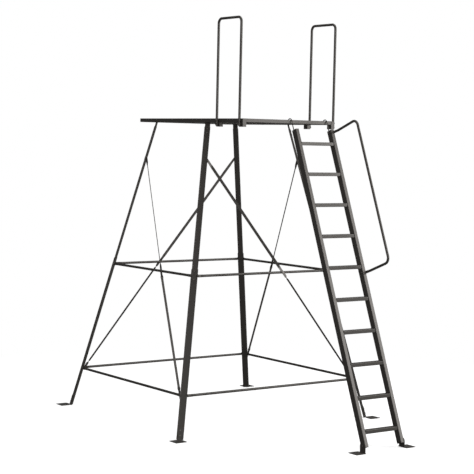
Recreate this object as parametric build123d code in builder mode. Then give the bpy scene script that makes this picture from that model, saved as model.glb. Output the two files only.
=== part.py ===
from build123d import *

import os
from math import cos, radians, sin, sqrt, tan

# Free-standing ladder tree stand: a four-legged steel tower that carries a flat deck, two side
# rails on the deck, and a ladder that hooks over the deck's front tube.
# Millimetres, +Z up, the ladder on the -Y side, rungs along X. The origin lies on the ground at
# the centre of the whole stand's outline.

os.makedirs("parts", exist_ok=True)

# ---- Driving dimensions -------------------------------------------------------------------

# Tower: centre lines of the legs at the ground and at the deck's top
deck_height = 3048.0
base_half_x = 1150.0
base_half_y = 1045.0
top_half_x = 495.0
top_half_y = 460.0
joint_height = 1524.0
low_ring_height = 408.0
strap_top_height = 2635.0

# Leg sections: channels with the web facing outwards, each nested in the one below
lower_width, lower_depth = 66.0, 20.0
upper_width, upper_depth = 58.0, 16.0
stub_width, stub_depth = 52.0, 12.0
channel_wall = 2.5
channel_corner = 5.0
leg_overlap = 60.0
upper_top_height = 2965.0
stub_bottom_height = 2885.0
leg_bottom_gap = 4.5

# Foot plates, shared by the legs and the ladder
foot_thickness = 5.0
foot_side = 125.0
foot_tab_width = 50.0
foot_tab_length = 115.0

# Deck: square tube outside, flatter joists inside, and a floor panel on the joists
deck_half_x = 561.0
deck_front = 1137.0
deck_rear = 703.0
deck_tube = 38.0
deck_tube_corner = 5.0
tube_wall = 2.0
joist_height = 30.0
floor_thickness = 2.5
floor_front_gap = 20.0
front_joist_y = -790.0

# Side rails on the deck
rail_radius = 12.5
rail_wall = 1.5
rail_rise = 973.0
rail_bend = 48.0
post_front_y = -1101.0
post_rear_y = -727.0
post_bottom_drop = 73.0
bracket_plate = 3.0
bracket_half_length = 28.0
bracket_drop = 42.0

# Braces: round tube with flattened ends, and flat straps
brace_radius = 12.5
brace_wall = 1.5
brace_flat = 4.0
brace_flat_height = 28.0
brace_flat_length = 45.0
strap_thickness = 3.0
strap_width = 28.0
strap_flat_length = 70.0
strap_tab_height = 36.0
strap_end_margin = 14.0
strap_turn_overlap = 12.0
upper_turn, lower_turn = 28.0, 90.0

# Ladder
ladder_lean = 21.6
ladder_left_x = 19.0
ladder_right_x = 458.0
stile_width, stile_depth = 38.0, 64.0
stile_bottom_height = 45.0
stile_top_height = 2951.0
rung_count = 10
rung_first_height = 181.0
rung_rise = 293.3
rung_depth, rung_height = 60.0, 34.0
hook_rod_radius = 5.0
hook_clearance = 6.5
handrail_reach = 370.0
handrail_bend = 58.0
handrail_low_height = 1588.0
pivot_height = 62.0
pivot_radius = 5.0
pivot_clearance = 0.08

# Fits and fasteners
fit_gap = 0.3
crossing_gap = 0.5
bolt_radius = 4.0
bolt_hole_radius = 4.3
bolt_head_radius = 7.5
bolt_head_height = 5.3
nut_height = 6.5
nut_bore_gap = 0.05
bolt_tail = 2.0

# ---- Derived places -----------------------------------------------------------------------

corners = {
    "front_left": (-1, -1),
    "front_right": (1, -1),
    "rear_left": (-1, 1),
    "rear_right": (1, 1),
}

up_axis = Vector(0, 0, 1)
x_axis = Vector(1, 0, 0)

# The foot plates reach furthest to the front and the rear, and set where the origin lies
foot_start = 11.5
foot_reach = foot_start + foot_side * sqrt(2.0) - foot_tab_width / 2
deck_drop = deck_height - deck_tube
ladder_axis_height = deck_height - deck_tube / 2
hook_radius = deck_tube / 2 + hook_clearance + hook_rod_radius
stile_wall_inset = stile_depth / 2 - tube_wall - hook_rod_radius - 0.5
ladder_offset = hook_radius + stile_wall_inset
lean_sin, lean_cos, lean_tan = sin(radians(ladder_lean)), cos(radians(ladder_lean)), tan(radians(ladder_lean))

ladder_top_line_y = -deck_front + deck_tube / 2 - ladder_offset / lean_cos
pivot_y_in_tower = ladder_top_line_y - (ladder_axis_height - pivot_height) * lean_tan
front_reach = -pivot_y_in_tower + foot_side / 2
rear_reach = base_half_y + foot_reach / sqrt(2.0)
tower_y = (front_reach - rear_reach) / 2


def deck_point(x, y, z):
    """A point given from the tower's own centre line."""
    return Vector(x, y + tower_y, z)


def leg_point(corner, height):
    """The leg's centre line at a height above the ground."""
    share = height / deck_height
    half_x = base_half_x + (top_half_x - base_half_x) * share
    half_y = base_half_y + (top_half_y - base_half_y) * share
    return deck_point(corner[0] * half_x, corner[1] * half_y, height)


def leg_frame(corner):
    """The leg's axis, its outward normal, its width direction and the flat outward diagonal."""
    axis = (leg_point(corner, deck_height) - leg_point(corner, 0)).normalized()
    diagonal = Vector(corner[0], corner[1], 0).normalized()
    outward = (diagonal - axis * diagonal.dot(axis)).normalized()
    width = outward.cross(axis).normalized()
    return axis, outward, width, diagonal


def leg_plane(corner, height, shift=0.0):
    """A plane across the leg: its x runs along the web, its y outwards, its z up the leg."""
    axis, outward, width, _ = leg_frame(corner)
    return Plane(origin=leg_point(corner, height) + outward * shift, x_dir=width, z_dir=axis)


def ladder_point(x, height, forward=0.0):
    """A point on the line of a stile at a height, moved off it square to the ladder's front."""
    line_y = ladder_top_line_y - (ladder_axis_height - height) * lean_tan
    return deck_point(x, line_y, height) + ladder_front * forward


ladder_up = Vector(0, lean_sin, lean_cos)
ladder_front = Vector(0, -lean_cos, lean_sin)
hook_centre = deck_point(0, -deck_front + deck_tube / 2, ladder_axis_height)

# ---- Shared makers ------------------------------------------------------------------------


def save(builder, label):
    """Names the finished piece and writes it."""
    builder.part.label = label
    export_step(builder.part, f"parts/{label}.step")


def drill(start, direction, depth, radius=bolt_hole_radius):
    """Cuts a round hole from start along direction in the piece being made."""
    with BuildSketch(Plane(origin=start, z_dir=direction), mode=Mode.PRIVATE) as hole:
        Circle(radius)
    extrude(hole.sketch, amount=depth, mode=Mode.SUBTRACT)


def slab(origin, x_dir, z_dir, length, width, thickness):
    """Adds a rectangular plate: length along x_dir, thickness along z_dir, centred on origin."""
    with BuildSketch(Plane(origin=origin, x_dir=x_dir, z_dir=z_dir), mode=Mode.PRIVATE) as outline:
        Rectangle(length, width)
    extrude(outline.sketch, amount=thickness / 2, both=True)


def box_tube(start, end, x_dir, width, depth, corner=3.0, wall=tube_wall):
    """Adds a straight rectangular tube from start to end, its width along x_dir."""
    run = end - start
    with BuildSketch(Plane(origin=start, x_dir=x_dir, z_dir=run), mode=Mode.PRIVATE) as outline:
        RectangleRounded(width, depth, corner)
        RectangleRounded(width - 2 * wall, depth - 2 * wall, corner - wall, mode=Mode.SUBTRACT)
    extrude(outline.sketch, amount=run.length)


def round_tube(start, end, radius, wall):
    """Adds a straight round tube from start to end."""
    run = end - start
    with BuildSketch(Plane(origin=start, z_dir=run), mode=Mode.PRIVATE) as outline:
        Circle(radius)
        Circle(radius - wall, mode=Mode.SUBTRACT)
    extrude(outline.sketch, amount=run.length)


def round_bar(start, end, radius):
    """Adds a straight round bar from start to end."""
    run = end - start
    with BuildSketch(Plane(origin=start, z_dir=run), mode=Mode.PRIVATE) as outline:
        Circle(radius)
    extrude(outline.sketch, amount=run.length)


def channel(plane, width, depth, length):
    """Adds a channel with its web on the plane's +y side and its open side on -y."""
    with BuildSketch(plane, mode=Mode.PRIVATE) as outline:
        Rectangle(width, depth)
        fillet(outline.vertices().group_by(Axis.Y)[-1], radius=channel_corner)
        with Locations((0, -channel_wall)):
            Rectangle(width - 2 * channel_wall, depth, mode=Mode.SUBTRACT)
    extrude(outline.sketch, amount=length)


def hex_bolt(seat, outward, grip, radius=bolt_radius, head_radius=bolt_head_radius):
    """Adds a hexagon bolt seated on a face, and its nut on the far side of the grip."""
    head_plane = Plane(origin=seat, z_dir=outward)
    with BuildSketch(head_plane, mode=Mode.PRIVATE) as head:
        RegularPolygon(head_radius, 6)
    extrude(head.sketch, amount=bolt_head_height)
    round_bar(seat, seat - outward * (grip + nut_height + bolt_tail), radius)
    nut_plane = Plane(origin=seat - outward * grip, z_dir=outward * -1)
    with BuildSketch(nut_plane, mode=Mode.PRIVATE) as nut:
        RegularPolygon(head_radius, 6)
        Circle(radius + nut_bore_gap, mode=Mode.SUBTRACT)
    extrude(nut.sketch, amount=nut_height)


# ---- Bolted places on the legs ------------------------------------------------------------

web_joints = {
    "foot": ((40.0, 88.0), lower_depth / 2 + foot_thickness, foot_thickness + channel_wall),
    "middle": ((joint_height - 40.0, joint_height + 40.0), lower_depth / 2, 2 * channel_wall),
    "top": (
        (stub_bottom_height + 20.0, upper_top_height - 20.0),
        lower_depth / 2 - channel_wall,
        2 * channel_wall,
    ),
}
flange_bolt_shift = -3.0
tab_outer_end = 8.0
tab_bend_end = -14.0


def web_bolt(corner, height, face):
    """Seat and direction of a bolt through the web, its head on the outer face."""
    _, outward, _, _ = leg_frame(corner)
    return leg_point(corner, height) + outward * face, outward


def flange_side(corner, face_normal):
    """+1 or -1: which flange of the leg looks towards that face of the tower."""
    _, _, width, _ = leg_frame(corner)
    return 1.0 if width.dot(face_normal) > 0 else -1.0


def flange_place(corner, face_normal, height, stand_off, along):
    """A point beside the leg's flange: stand_off from the leg's middle, along its depth."""
    _, outward, width, _ = leg_frame(corner)
    side = flange_side(corner, face_normal)
    return leg_point(corner, height) + width * (side * stand_off) + outward * along


# Each face of the tower: its outward normal, the leg its strap leaves from, the leg it goes to
faces = {
    "front": (Vector(0, -1, 0), "front_left", "front_right"),
    "right": (Vector(1, 0, 0), "front_right", "rear_right"),
    "rear": (Vector(0, 1, 0), "rear_right", "rear_left"),
    "left": (Vector(-1, 0, 0), "rear_left", "front_left"),
}

brace_stand_off = lower_width / 2 + fit_gap + brace_flat / 2
strap_top_stand_off = upper_width / 2 + fit_gap + strap_thickness / 2
strap_low_stand_off = brace_stand_off + brace_flat / 2 + fit_gap + strap_thickness / 2
strap_low_bend = tab_bend_end + (strap_low_stand_off - brace_stand_off) * tan(radians(22.5))


def flange_bolts(corner, height):
    """Every bolt that crosses the leg's flanges near a height, as start and direction."""
    _, outward, width, _ = leg_frame(corner)
    centre = leg_point(corner, height) + outward * flange_bolt_shift
    return centre, width


def brace_route(face, height):
    """The two legs of a brace with its bend beside each, and the direction between them."""
    normal, from_name, to_name = faces[face]
    ends = []
    for name in (from_name, to_name):
        corner = corners[name]
        ends.append((corner, flange_place(corner, normal, height, brace_stand_off, tab_bend_end)))
    return ends, (ends[1][1] - ends[0][1]).normalized()


def strap_route(face):
    """The strap's two bends, and where its halves are bolted to the middle brace."""
    normal, from_name, to_name = faces[face]
    top = flange_place(corners[from_name], normal, strap_top_height, strap_top_stand_off, tab_bend_end)
    low = flange_place(corners[to_name], normal, low_ring_height, strap_low_stand_off, strap_low_bend)
    ends, run = brace_route(face, joint_height)
    share = (top.Z - joint_height) / (top.Z - low.Z)
    crossing = top + (low - top) * share
    on_brace = ends[0][1] + run * (crossing - ends[0][1]).dot(run)
    lift = run.cross(low - top).normalized()
    if lift.dot(normal) < 0:
        lift = lift * -1
    upper_end = on_brace + lift * (brace_radius + crossing_gap + strap_thickness / 2)
    lower_end = upper_end + lift * (strap_thickness + crossing_gap)
    return top, low, upper_end, lower_end, on_brace, lift


def end_tab(corner, normal, height, stand_off, bend, breadth, thickness):
    """Adds an end tab that lies flat on a leg's flange, and the round of its bend."""
    axis, outward, width, _ = leg_frame(corner)
    beside = flange_place(corner, normal, height, stand_off, (tab_outer_end + bend) / 2)
    slab(beside, outward, width, tab_outer_end - bend, breadth, thickness)
    fold = flange_place(corner, normal, height, stand_off, bend)
    round_bar(fold - axis * (breadth / 2), fold + axis * (breadth / 2), thickness / 2)


def blade(fold, end, fold_axis, lift, past_end, breadth, thickness):
    """Adds a flat blade whose near end is cut along the fold and whose far end is square."""
    direction = (end - fold).normalized()
    blade_normal = (lift - direction * lift.dot(direction)).normalized()
    across = blade_normal.cross(direction)
    skew = fold_axis.dot(direction) / fold_axis.dot(across)
    half = breadth / 2
    reach = (end - fold).length + past_end
    with BuildSketch(Plane(origin=fold, x_dir=direction, z_dir=blade_normal), mode=Mode.PRIVATE) as outline:
        Polygon((-half * skew, -half), (reach, -half), (reach, half), (half * skew, half), align=None)
    extrude(outline.sketch, amount=thickness / 2, both=True)


# ---- Legs: stub, upper section, lower section and foot --------------------------------------

for name, corner in corners.items():
    axis, outward, width, diagonal = leg_frame(corner)
    rise = axis.Z

    # Short channel welded under the deck, cut level where it meets the joist
    with BuildPart() as leg_stub:
        stub_shift = lower_depth / 2 - 2 * channel_wall - stub_depth / 2
        channel(leg_plane(corner, stub_bottom_height, stub_shift), stub_width, stub_depth, 200.0)
        split(bisect_by=Plane.XY.offset(deck_drop), keep=Keep.BOTTOM)
        for height in web_joints["top"][0]:
            seat, _ = web_bolt(corner, height, web_joints["top"][1])
            drill(seat, outward * -1, 2 * lower_depth)
    save(leg_stub, f"{name}_leg_stub")

    # Upper section, slipped over the stub and into the lower section
    with BuildPart() as leg_upper:
        upper_shift = lower_depth / 2 - channel_wall - upper_depth / 2
        upper_length = (upper_top_height - joint_height + leg_overlap) / rise
        start_plane = leg_plane(corner, joint_height - leg_overlap, upper_shift)
        channel(start_plane, upper_width, upper_depth, upper_length)
        for joint in ("middle", "top"):
            for height in web_joints[joint][0]:
                seat, _ = web_bolt(corner, height, web_joints[joint][1])
                drill(seat, outward * -1, 2 * lower_depth)
        for height in (joint_height, strap_top_height):
            centre, across = flange_bolts(corner, height)
            drill(centre - across * lower_width, across, 2 * lower_width)
    save(leg_upper, f"{name}_leg_upper")

    # Lower section, down to the ground beside its foot
    with BuildPart() as leg_lower:
        lower_length = (joint_height + leg_overlap) / rise - leg_bottom_gap
        channel(leg_plane(corner, leg_bottom_gap * rise), lower_width, lower_depth, lower_length)
        for joint in ("foot", "middle"):
            for height in web_joints[joint][0]:
                seat, _ = web_bolt(corner, height, web_joints[joint][1])
                drill(seat, outward * -1, 2 * lower_depth)
        for height in (joint_height, low_ring_height):
            centre, across = flange_bolts(corner, height)
            drill(centre - across * lower_width, across, 2 * lower_width)
    save(leg_lower, f"{name}_leg_lower")

    # Foot: a square plate that points outwards by its corner, with a tab up the leg's web
    with BuildPart() as leg_foot:
        ground = leg_point(corner, 0)
        flat_width = Vector(width.X, width.Y, 0).normalized()
        shoulder = foot_start + foot_side / sqrt(2.0) - foot_tab_width / 2
        with BuildSketch(Plane(origin=ground, x_dir=flat_width, z_dir=up_axis)):
            Polygon(
                (-foot_tab_width / 2, foot_start),
                (-foot_side / sqrt(2.0), shoulder),
                (0, foot_reach),
                (foot_side / sqrt(2.0), shoulder),
                (foot_tab_width / 2, foot_start),
                align=None,
            )
        extrude(amount=foot_thickness)
        tab_run = foot_tab_length + 2 * lower_depth
        tab_middle = axis * (foot_tab_length - tab_run / 2)
        tab_centre = ground + outward * (lower_depth / 2 + foot_thickness / 2) + tab_middle
        slab(tab_centre, axis, outward, tab_run, foot_tab_width, foot_thickness)
        split(bisect_by=Plane.XY, keep=Keep.TOP)
        for height in web_joints["foot"][0]:
            seat, _ = web_bolt(corner, height, web_joints["foot"][1])
            drill(seat + outward, outward * -1, 2 * foot_thickness)
    save(leg_foot, f"{name}_foot")

# ---- Braces around the tower ----------------------------------------------------------------

for ring, height in (("middle", joint_height), ("low", low_ring_height)):
    for face in faces:
        ends, run = brace_route(face, height)
        normal = faces[face][0]
        with BuildPart() as brace:
            tube_start = ends[0][1] + run * brace_flat_length
            tube_end = ends[1][1] - run * brace_flat_length
            round_tube(tube_start, tube_end, brace_radius, brace_wall)
            for (corner, fold), heading in zip(ends, (run, run * -1)):
                axis, _, _, _ = leg_frame(corner)
                end_tab(corner, normal, height, brace_stand_off, tab_bend_end, brace_flat_height, brace_flat)
                flat_end = fold + heading * (brace_flat_length + 15.0)
                lean_normal = heading.cross(axis)
                if lean_normal.dot(normal) < 0:
                    lean_normal = lean_normal * -1
                blade(fold, flat_end, axis, lean_normal, 0.0, brace_flat_height, brace_flat)
                centre, across = flange_bolts(corner, height)
                side = flange_side(corner, normal)
                drill(centre, across * side, lower_width)
            if ring == "middle":
                _, _, _, _, on_brace, lift = strap_route(face)
                drill(on_brace - lift * (2 * brace_radius), lift, 4 * brace_radius)
        save(brace, f"{ring}_brace_{face}")

for face in faces:
    normal, from_name, to_name = faces[face]
    top, low, upper_end, lower_end, on_brace, lift = strap_route(face)

    # Each strap is flat at its two bolted ends and turned about its own run between them
    halves = {
        "upper": (from_name, top, upper_end, strap_top_height, strap_top_stand_off, tab_bend_end, upper_turn),
        "lower": (to_name, low, lower_end, low_ring_height, strap_low_stand_off, strap_low_bend, lower_turn),
    }
    for half, (corner_name, fold, far, height, stand_off, bend, turn) in halves.items():
        corner = corners[corner_name]
        axis, _, _, _ = leg_frame(corner)
        direction = (far - fold).normalized()
        flat_normal = (lift - direction * lift.dot(direction)).normalized()
        across_flat = flat_normal.cross(direction)
        turned_normal = flat_normal * cos(radians(turn)) - across_flat * sin(radians(turn))
        with BuildPart() as strap:
            end_tab(corner, normal, height, stand_off, bend, strap_tab_height, strap_thickness)
            blade(fold, fold + direction * strap_flat_length, axis, lift, 0.0, strap_width, strap_thickness)
            far_middle = far + direction * ((strap_end_margin - strap_flat_length) / 2)
            far_length = strap_flat_length + strap_end_margin
            slab(far_middle, direction, flat_normal, far_length, strap_width, strap_thickness)
            turned_start = fold + direction * (strap_flat_length - strap_turn_overlap)
            turned_end = far - direction * (strap_flat_length - strap_turn_overlap)
            turned_run = (turned_end - turned_start).length
            turned_middle = (turned_start + turned_end) * 0.5
            slab(turned_middle, direction, turned_normal, turned_run, strap_width, strap_thickness)
            centre, across = flange_bolts(corner, height)
            drill(centre, across * flange_side(corner, normal), 2 * lower_width)
            drill(on_brace, lift, 3 * brace_radius)
        save(strap, f"{half}_strap_{face}")

# ---- Deck -----------------------------------------------------------------------------------

side_tube_x = deck_half_x - deck_tube / 2
cross_half = deck_half_x - deck_tube
tube_height = deck_height - deck_tube / 2
post_x = deck_half_x + bracket_plate + rail_radius
rail_bolt_heights = (tube_height, deck_drop - bracket_drop / 2)

for side_name, side in (("left", -1), ("right", 1)):
    with BuildPart() as side_tube:
        start = deck_point(side * side_tube_x, -deck_front, tube_height)
        end = deck_point(side * side_tube_x, deck_rear, tube_height)
        box_tube(start, end, x_axis, deck_tube, deck_tube, deck_tube_corner)
        for post_y in (post_front_y, post_rear_y):
            drill(deck_point(side * post_x, post_y, tube_height), x_axis * -side, deck_tube)
    save(side_tube, f"deck_{side_name}_tube")

for end_name, end_y in (("front", -deck_front + deck_tube / 2), ("rear", deck_rear - deck_tube / 2)):
    with BuildPart() as end_tube:
        start = deck_point(-cross_half, end_y, tube_height)
        end = deck_point(cross_half, end_y, tube_height)
        box_tube(start, end, Vector(0, 1, 0), deck_tube, deck_tube, deck_tube_corner)
    save(end_tube, f"deck_{end_name}_tube")

leg_top_y = abs(leg_point((1, 1), deck_drop).Y - tower_y)
joist_places = {"front": front_joist_y, "front_leg": -leg_top_y, "middle": 0.0, "rear_leg": leg_top_y}
for joist_name, joist_y in joist_places.items():
    with BuildPart() as joist:
        start = deck_point(-cross_half, joist_y, deck_drop + joist_height / 2)
        end = deck_point(cross_half, joist_y, deck_drop + joist_height / 2)
        box_tube(start, end, Vector(0, 1, 0), deck_tube, joist_height)
    save(joist, f"deck_joist_{joist_name}")

with BuildPart() as deck_floor:
    floor_from = -deck_front + deck_tube + floor_front_gap
    floor_to = deck_rear - deck_tube
    floor_centre = deck_point(0, (floor_from + floor_to) / 2, deck_drop + joist_height)
    with BuildSketch(Plane(origin=floor_centre, x_dir=x_axis, z_dir=up_axis)):
        Rectangle(2 * cross_half, floor_to - floor_from)
    extrude(amount=floor_thickness)
save(deck_floor, "deck_floor")

# ---- Side rails and the brackets that hold their posts ---------------------------------------

for side_name, side in (("left", -1), ("right", 1)):
    with BuildPart() as side_rail:
        foot_z = deck_height - post_bottom_drop
        head_z = deck_height + rail_rise - rail_radius
        front_foot = deck_point(side * post_x, post_front_y, foot_z)
        front_head = deck_point(side * post_x, post_front_y, head_z)
        rear_head = deck_point(side * post_x, post_rear_y, head_z)
        rear_foot = deck_point(side * post_x, post_rear_y, foot_z)
        with BuildLine() as bent_line:
            FilletPolyline(front_foot, front_head, rear_head, rear_foot, radius=rail_bend)
        with BuildSketch(Plane(origin=front_foot, z_dir=up_axis)):
            Circle(rail_radius)
            Circle(rail_radius - rail_wall, mode=Mode.SUBTRACT)
        sweep(path=bent_line.wires()[0])
        for post_y in (post_front_y, post_rear_y):
            for height in rail_bolt_heights:
                outside_post = deck_point(side * (post_x + 2 * rail_radius), post_y, height)
                drill(outside_post, x_axis * -side, 4 * rail_radius)
    save(side_rail, f"{side_name}_side_rail")

    for end_name, post_y in (("front", post_front_y), ("rear", post_rear_y)):
        at_front = end_name == "front"
        with BuildPart() as rail_bracket:
            start_y = -deck_front - bracket_plate if at_front else post_y - bracket_half_length
            end_y = post_y + bracket_half_length
            low_z = deck_drop - bracket_drop
            high_z = deck_height - bracket_plate
            outer_x = deck_half_x + bracket_plate
            inner_x = deck_half_x - deck_tube
            middle_y = (start_y + end_y) / 2
            length_y = end_y - start_y
            web_top = high_z if at_front else deck_drop
            cheek_x = side * (deck_half_x + bracket_plate / 2)
            cheek_middle = deck_point(cheek_x, middle_y, (low_z + high_z) / 2)
            slab(cheek_middle, up_axis, x_axis, high_z - low_z, length_y, bracket_plate)
            sole_x = side * (outer_x + inner_x) / 2
            sole_middle = deck_point(sole_x, middle_y, low_z + bracket_plate / 2)
            slab(sole_middle, x_axis, up_axis, outer_x - inner_x, length_y, bracket_plate)
            lip_x = side * (inner_x + bracket_plate / 2)
            lip_middle = deck_point(lip_x, middle_y, (low_z + deck_drop) / 2)
            slab(lip_middle, up_axis, x_axis, bracket_drop, length_y, bracket_plate)
            web_y = Vector(0, 1, 0)
            web_centre = deck_point(sole_x, start_y + bracket_plate / 2, (low_z + web_top) / 2)
            slab(web_centre, x_axis, web_y, outer_x - inner_x, web_top - low_z, bracket_plate)
            for height in rail_bolt_heights:
                drill(deck_point(side * post_x, post_y, height), x_axis * -side, 2 * rail_radius)
        save(rail_bracket, f"{side_name}_rail_bracket_{end_name}")

# ---- Ladder ---------------------------------------------------------------------------------

handrail_x = ladder_right_x + stile_width / 2 + fit_gap + rail_radius
handrail_ends = (stile_top_height - 20.0, handrail_low_height)
handrail_bolt_shifts = (-12.0, 12.0)

for side_name, stile_x in (("left", ladder_left_x), ("right", ladder_right_x)):
    outer = -1 if side_name == "left" else 1
    with BuildPart() as stile:
        start = ladder_point(stile_x, stile_bottom_height)
        end = ladder_point(stile_x, stile_top_height)
        box_tube(start, end, x_axis, stile_width, stile_depth)
        pivot = ladder_point(stile_x, pivot_height)
        drill(pivot - x_axis * stile_width, x_axis, 2 * stile_width, pivot_radius + fit_gap)
        if side_name == "right":
            for height in handrail_ends:
                for shift in handrail_bolt_shifts:
                    drill(ladder_point(stile_x - stile_width, height, shift), x_axis, 2 * stile_width)
    save(stile, f"ladder_{side_name}_stile")

    # Bent rod that hooks over the deck's front tube, welded to a plug in the stile's top
    with BuildPart() as hook:
        stile_top = ladder_point(stile_x, stile_top_height)
        plug_clearance = 0.5
        plug_width = stile_width - 2 * tube_wall - 2 * plug_clearance
        plug_depth = stile_depth - 2 * tube_wall - 2 * plug_clearance
        cap_thickness = 3.0
        slab(stile_top - ladder_up * 20.0, x_axis, ladder_up, plug_width, plug_depth, 40.0)
        cap_middle = stile_top + ladder_up * (cap_thickness / 2)
        slab(cap_middle, x_axis, ladder_up, stile_width, stile_depth, cap_thickness)
        hook_middle = Vector(stile_x, hook_centre.Y, hook_centre.Z)
        tangent = hook_middle + ladder_front * hook_radius
        rod_start = tangent - ladder_up * ((tangent - stile_top).dot(ladder_up) + 10.0)
        round_bar(rod_start, tangent, hook_rod_radius)
        turn = radians(190.0)
        hook_top, hook_tip = (
            hook_middle + ladder_front * (hook_radius * cos(angle)) + ladder_up * (hook_radius * sin(angle))
            for angle in (turn / 2, turn)
        )
        with BuildLine() as crook:
            ThreePointArc(tangent, hook_top, hook_tip)
        with BuildSketch(Plane(origin=tangent, z_dir=ladder_up)):
            Circle(hook_rod_radius)
        sweep(path=crook.wires()[0])
        for shift in handrail_bolt_shifts:
            bolt_centre = ladder_point(stile_x - stile_width, handrail_ends[0], shift)
            drill(bolt_centre, x_axis, 2 * stile_width)
    save(hook, f"ladder_{side_name}_hook")

    # Swivelling foot: a flat plate and a round-topped tab on the stile's outer side
    with BuildPart() as ladder_foot:
        tab_x = stile_x + outer * (stile_width / 2 + fit_gap)
        pivot = ladder_point(stile_x, pivot_height)
        plate_x = tab_x + outer * foot_side / 2
        plate_middle = Vector(plate_x, pivot.Y, foot_thickness / 2)
        slab(plate_middle, x_axis, up_axis, foot_side, foot_side, foot_thickness)
        tab_middle_x = tab_x + outer * foot_thickness / 2
        tab_radius = 38.0
        tab_middle = Vector(tab_middle_x, pivot.Y, pivot_height / 2)
        slab(tab_middle, up_axis, x_axis, pivot_height, 2 * tab_radius, foot_thickness)
        tab_start = Vector(tab_x, pivot.Y, pivot.Z)
        round_bar(tab_start, tab_start + x_axis * (outer * foot_thickness), tab_radius)
        hole_start = Vector(tab_x - outer * foot_thickness, pivot.Y, pivot.Z)
        drill(hole_start, x_axis * outer, 4 * foot_thickness, pivot_radius + pivot_clearance)
    save(ladder_foot, f"ladder_{side_name}_foot")

# Level treads between the stiles
with BuildPart() as ladder_rungs:
    for index in range(rung_count):
        height = rung_first_height + index * rung_rise
        start = ladder_point(ladder_left_x + stile_width / 2, height)
        end = ladder_point(ladder_right_x - stile_width / 2, height)
        box_tube(start, end, Vector(0, 1, 0), rung_depth, rung_height)
save(ladder_rungs, "ladder_rungs")

# Bent grab rail that stands off the right stile, its ends flattened and bolted
with BuildPart() as ladder_handrail:
    near = stile_depth / 2 + 8.0
    route = [
        ladder_point(handrail_x, handrail_ends[0], near),
        ladder_point(handrail_x, handrail_ends[0], handrail_reach),
        ladder_point(handrail_x, handrail_ends[1], handrail_reach),
        ladder_point(handrail_x, handrail_ends[1], near),
    ]
    with BuildLine() as grab_line:
        FilletPolyline(*route, radius=handrail_bend)
    with BuildSketch(Plane(origin=route[0], z_dir=ladder_front)):
        Circle(rail_radius)
        Circle(rail_radius - rail_wall, mode=Mode.SUBTRACT)
    sweep(path=grab_line.wires()[0])
    flat_x = ladder_right_x + stile_width / 2 + fit_gap + brace_flat / 2
    for height in handrail_ends:
        flat_middle = ladder_point(flat_x, height, 20.0)
        slab(flat_middle, ladder_front, x_axis, 84.0, brace_flat_height, brace_flat)
        for shift in handrail_bolt_shifts:
            drill(ladder_point(flat_x - brace_flat, height, shift), x_axis, 2 * brace_flat)
save(ladder_handrail, "ladder_handrail")

# ---- Fasteners ------------------------------------------------------------------------------

# Bolts through the webs: feet, leg joints and stubs
with BuildPart() as leg_bolts:
    for corner in corners.values():
        for heights, face, grip in web_joints.values():
            for height in heights:
                seat, outward = web_bolt(corner, height, face)
                hex_bolt(seat, outward, grip)
save(leg_bolts, "leg_bolts")

# Bolts through the flanges and the straps' crossings
with BuildPart() as brace_bolts:
    for face, (normal, from_name, to_name) in faces.items():
        for corner_name in (from_name, to_name):
            corner = corners[corner_name]
            for height in (joint_height, low_ring_height):
                centre, across = flange_bolts(corner, height)
                heading = across * flange_side(corner, normal)
                strapped = height == low_ring_height and corner_name == to_name
                stack = brace_stand_off + brace_flat / 2
                if strapped:
                    stack = strap_low_stand_off + strap_thickness / 2
                inner = lower_width / 2 - channel_wall
                if height == joint_height:
                    inner = upper_width / 2 - channel_wall
                hex_bolt(centre + heading * (stack + fit_gap), heading, stack + fit_gap - inner)
        corner = corners[from_name]
        centre, across = flange_bolts(corner, strap_top_height)
        heading = across * flange_side(corner, normal)
        stack = strap_top_stand_off + strap_thickness / 2 + fit_gap
        hex_bolt(centre + heading * stack, heading, stack - upper_width / 2 + channel_wall)
        _, _, _, _, on_brace, lift = strap_route(face)
        crossing_stack = brace_radius + 2 * strap_thickness + 3 * crossing_gap
        hex_bolt(on_brace + lift * crossing_stack, lift, crossing_stack + brace_radius + crossing_gap)
save(brace_bolts, "brace_bolts")

# Bolts that hold the rail posts to their brackets
with BuildPart() as rail_bolts:
    for side in (-1, 1):
        for post_y in (post_front_y, post_rear_y):
            for height in rail_bolt_heights:
                seat = deck_point(side * (post_x + rail_radius), post_y, height)
                wall = tube_wall if height == tube_height else 0.0
                hex_bolt(seat, x_axis * side, 2 * rail_radius + bracket_plate + wall)
save(rail_bolts, "rail_bolts")

# Bolts through the right stile that hold the grab rail
with BuildPart() as handrail_bolts:
    for height in handrail_ends:
        for shift in handrail_bolt_shifts:
            seat_x = ladder_right_x + stile_width / 2 + 2 * fit_gap + brace_flat
            grip = stile_width + fit_gap * 2 + brace_flat
            hex_bolt(ladder_point(seat_x, height, shift), x_axis, grip)
save(handrail_bolts, "handrail_bolts")

# Pivot bolts of the ladder's feet
with BuildPart() as foot_pivot_bolts:
    for stile_x, outer in ((ladder_left_x, -1), (ladder_right_x, 1)):
        stack = stile_width / 2 + fit_gap + foot_thickness + fit_gap
        seat = ladder_point(stile_x, pivot_height) + x_axis * (outer * stack)
        hex_bolt(seat, x_axis * outer, stack + stile_width / 2, pivot_radius, 9.0)
save(foot_pivot_bolts, "foot_pivot_bolts")
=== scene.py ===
from math import radians

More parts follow.
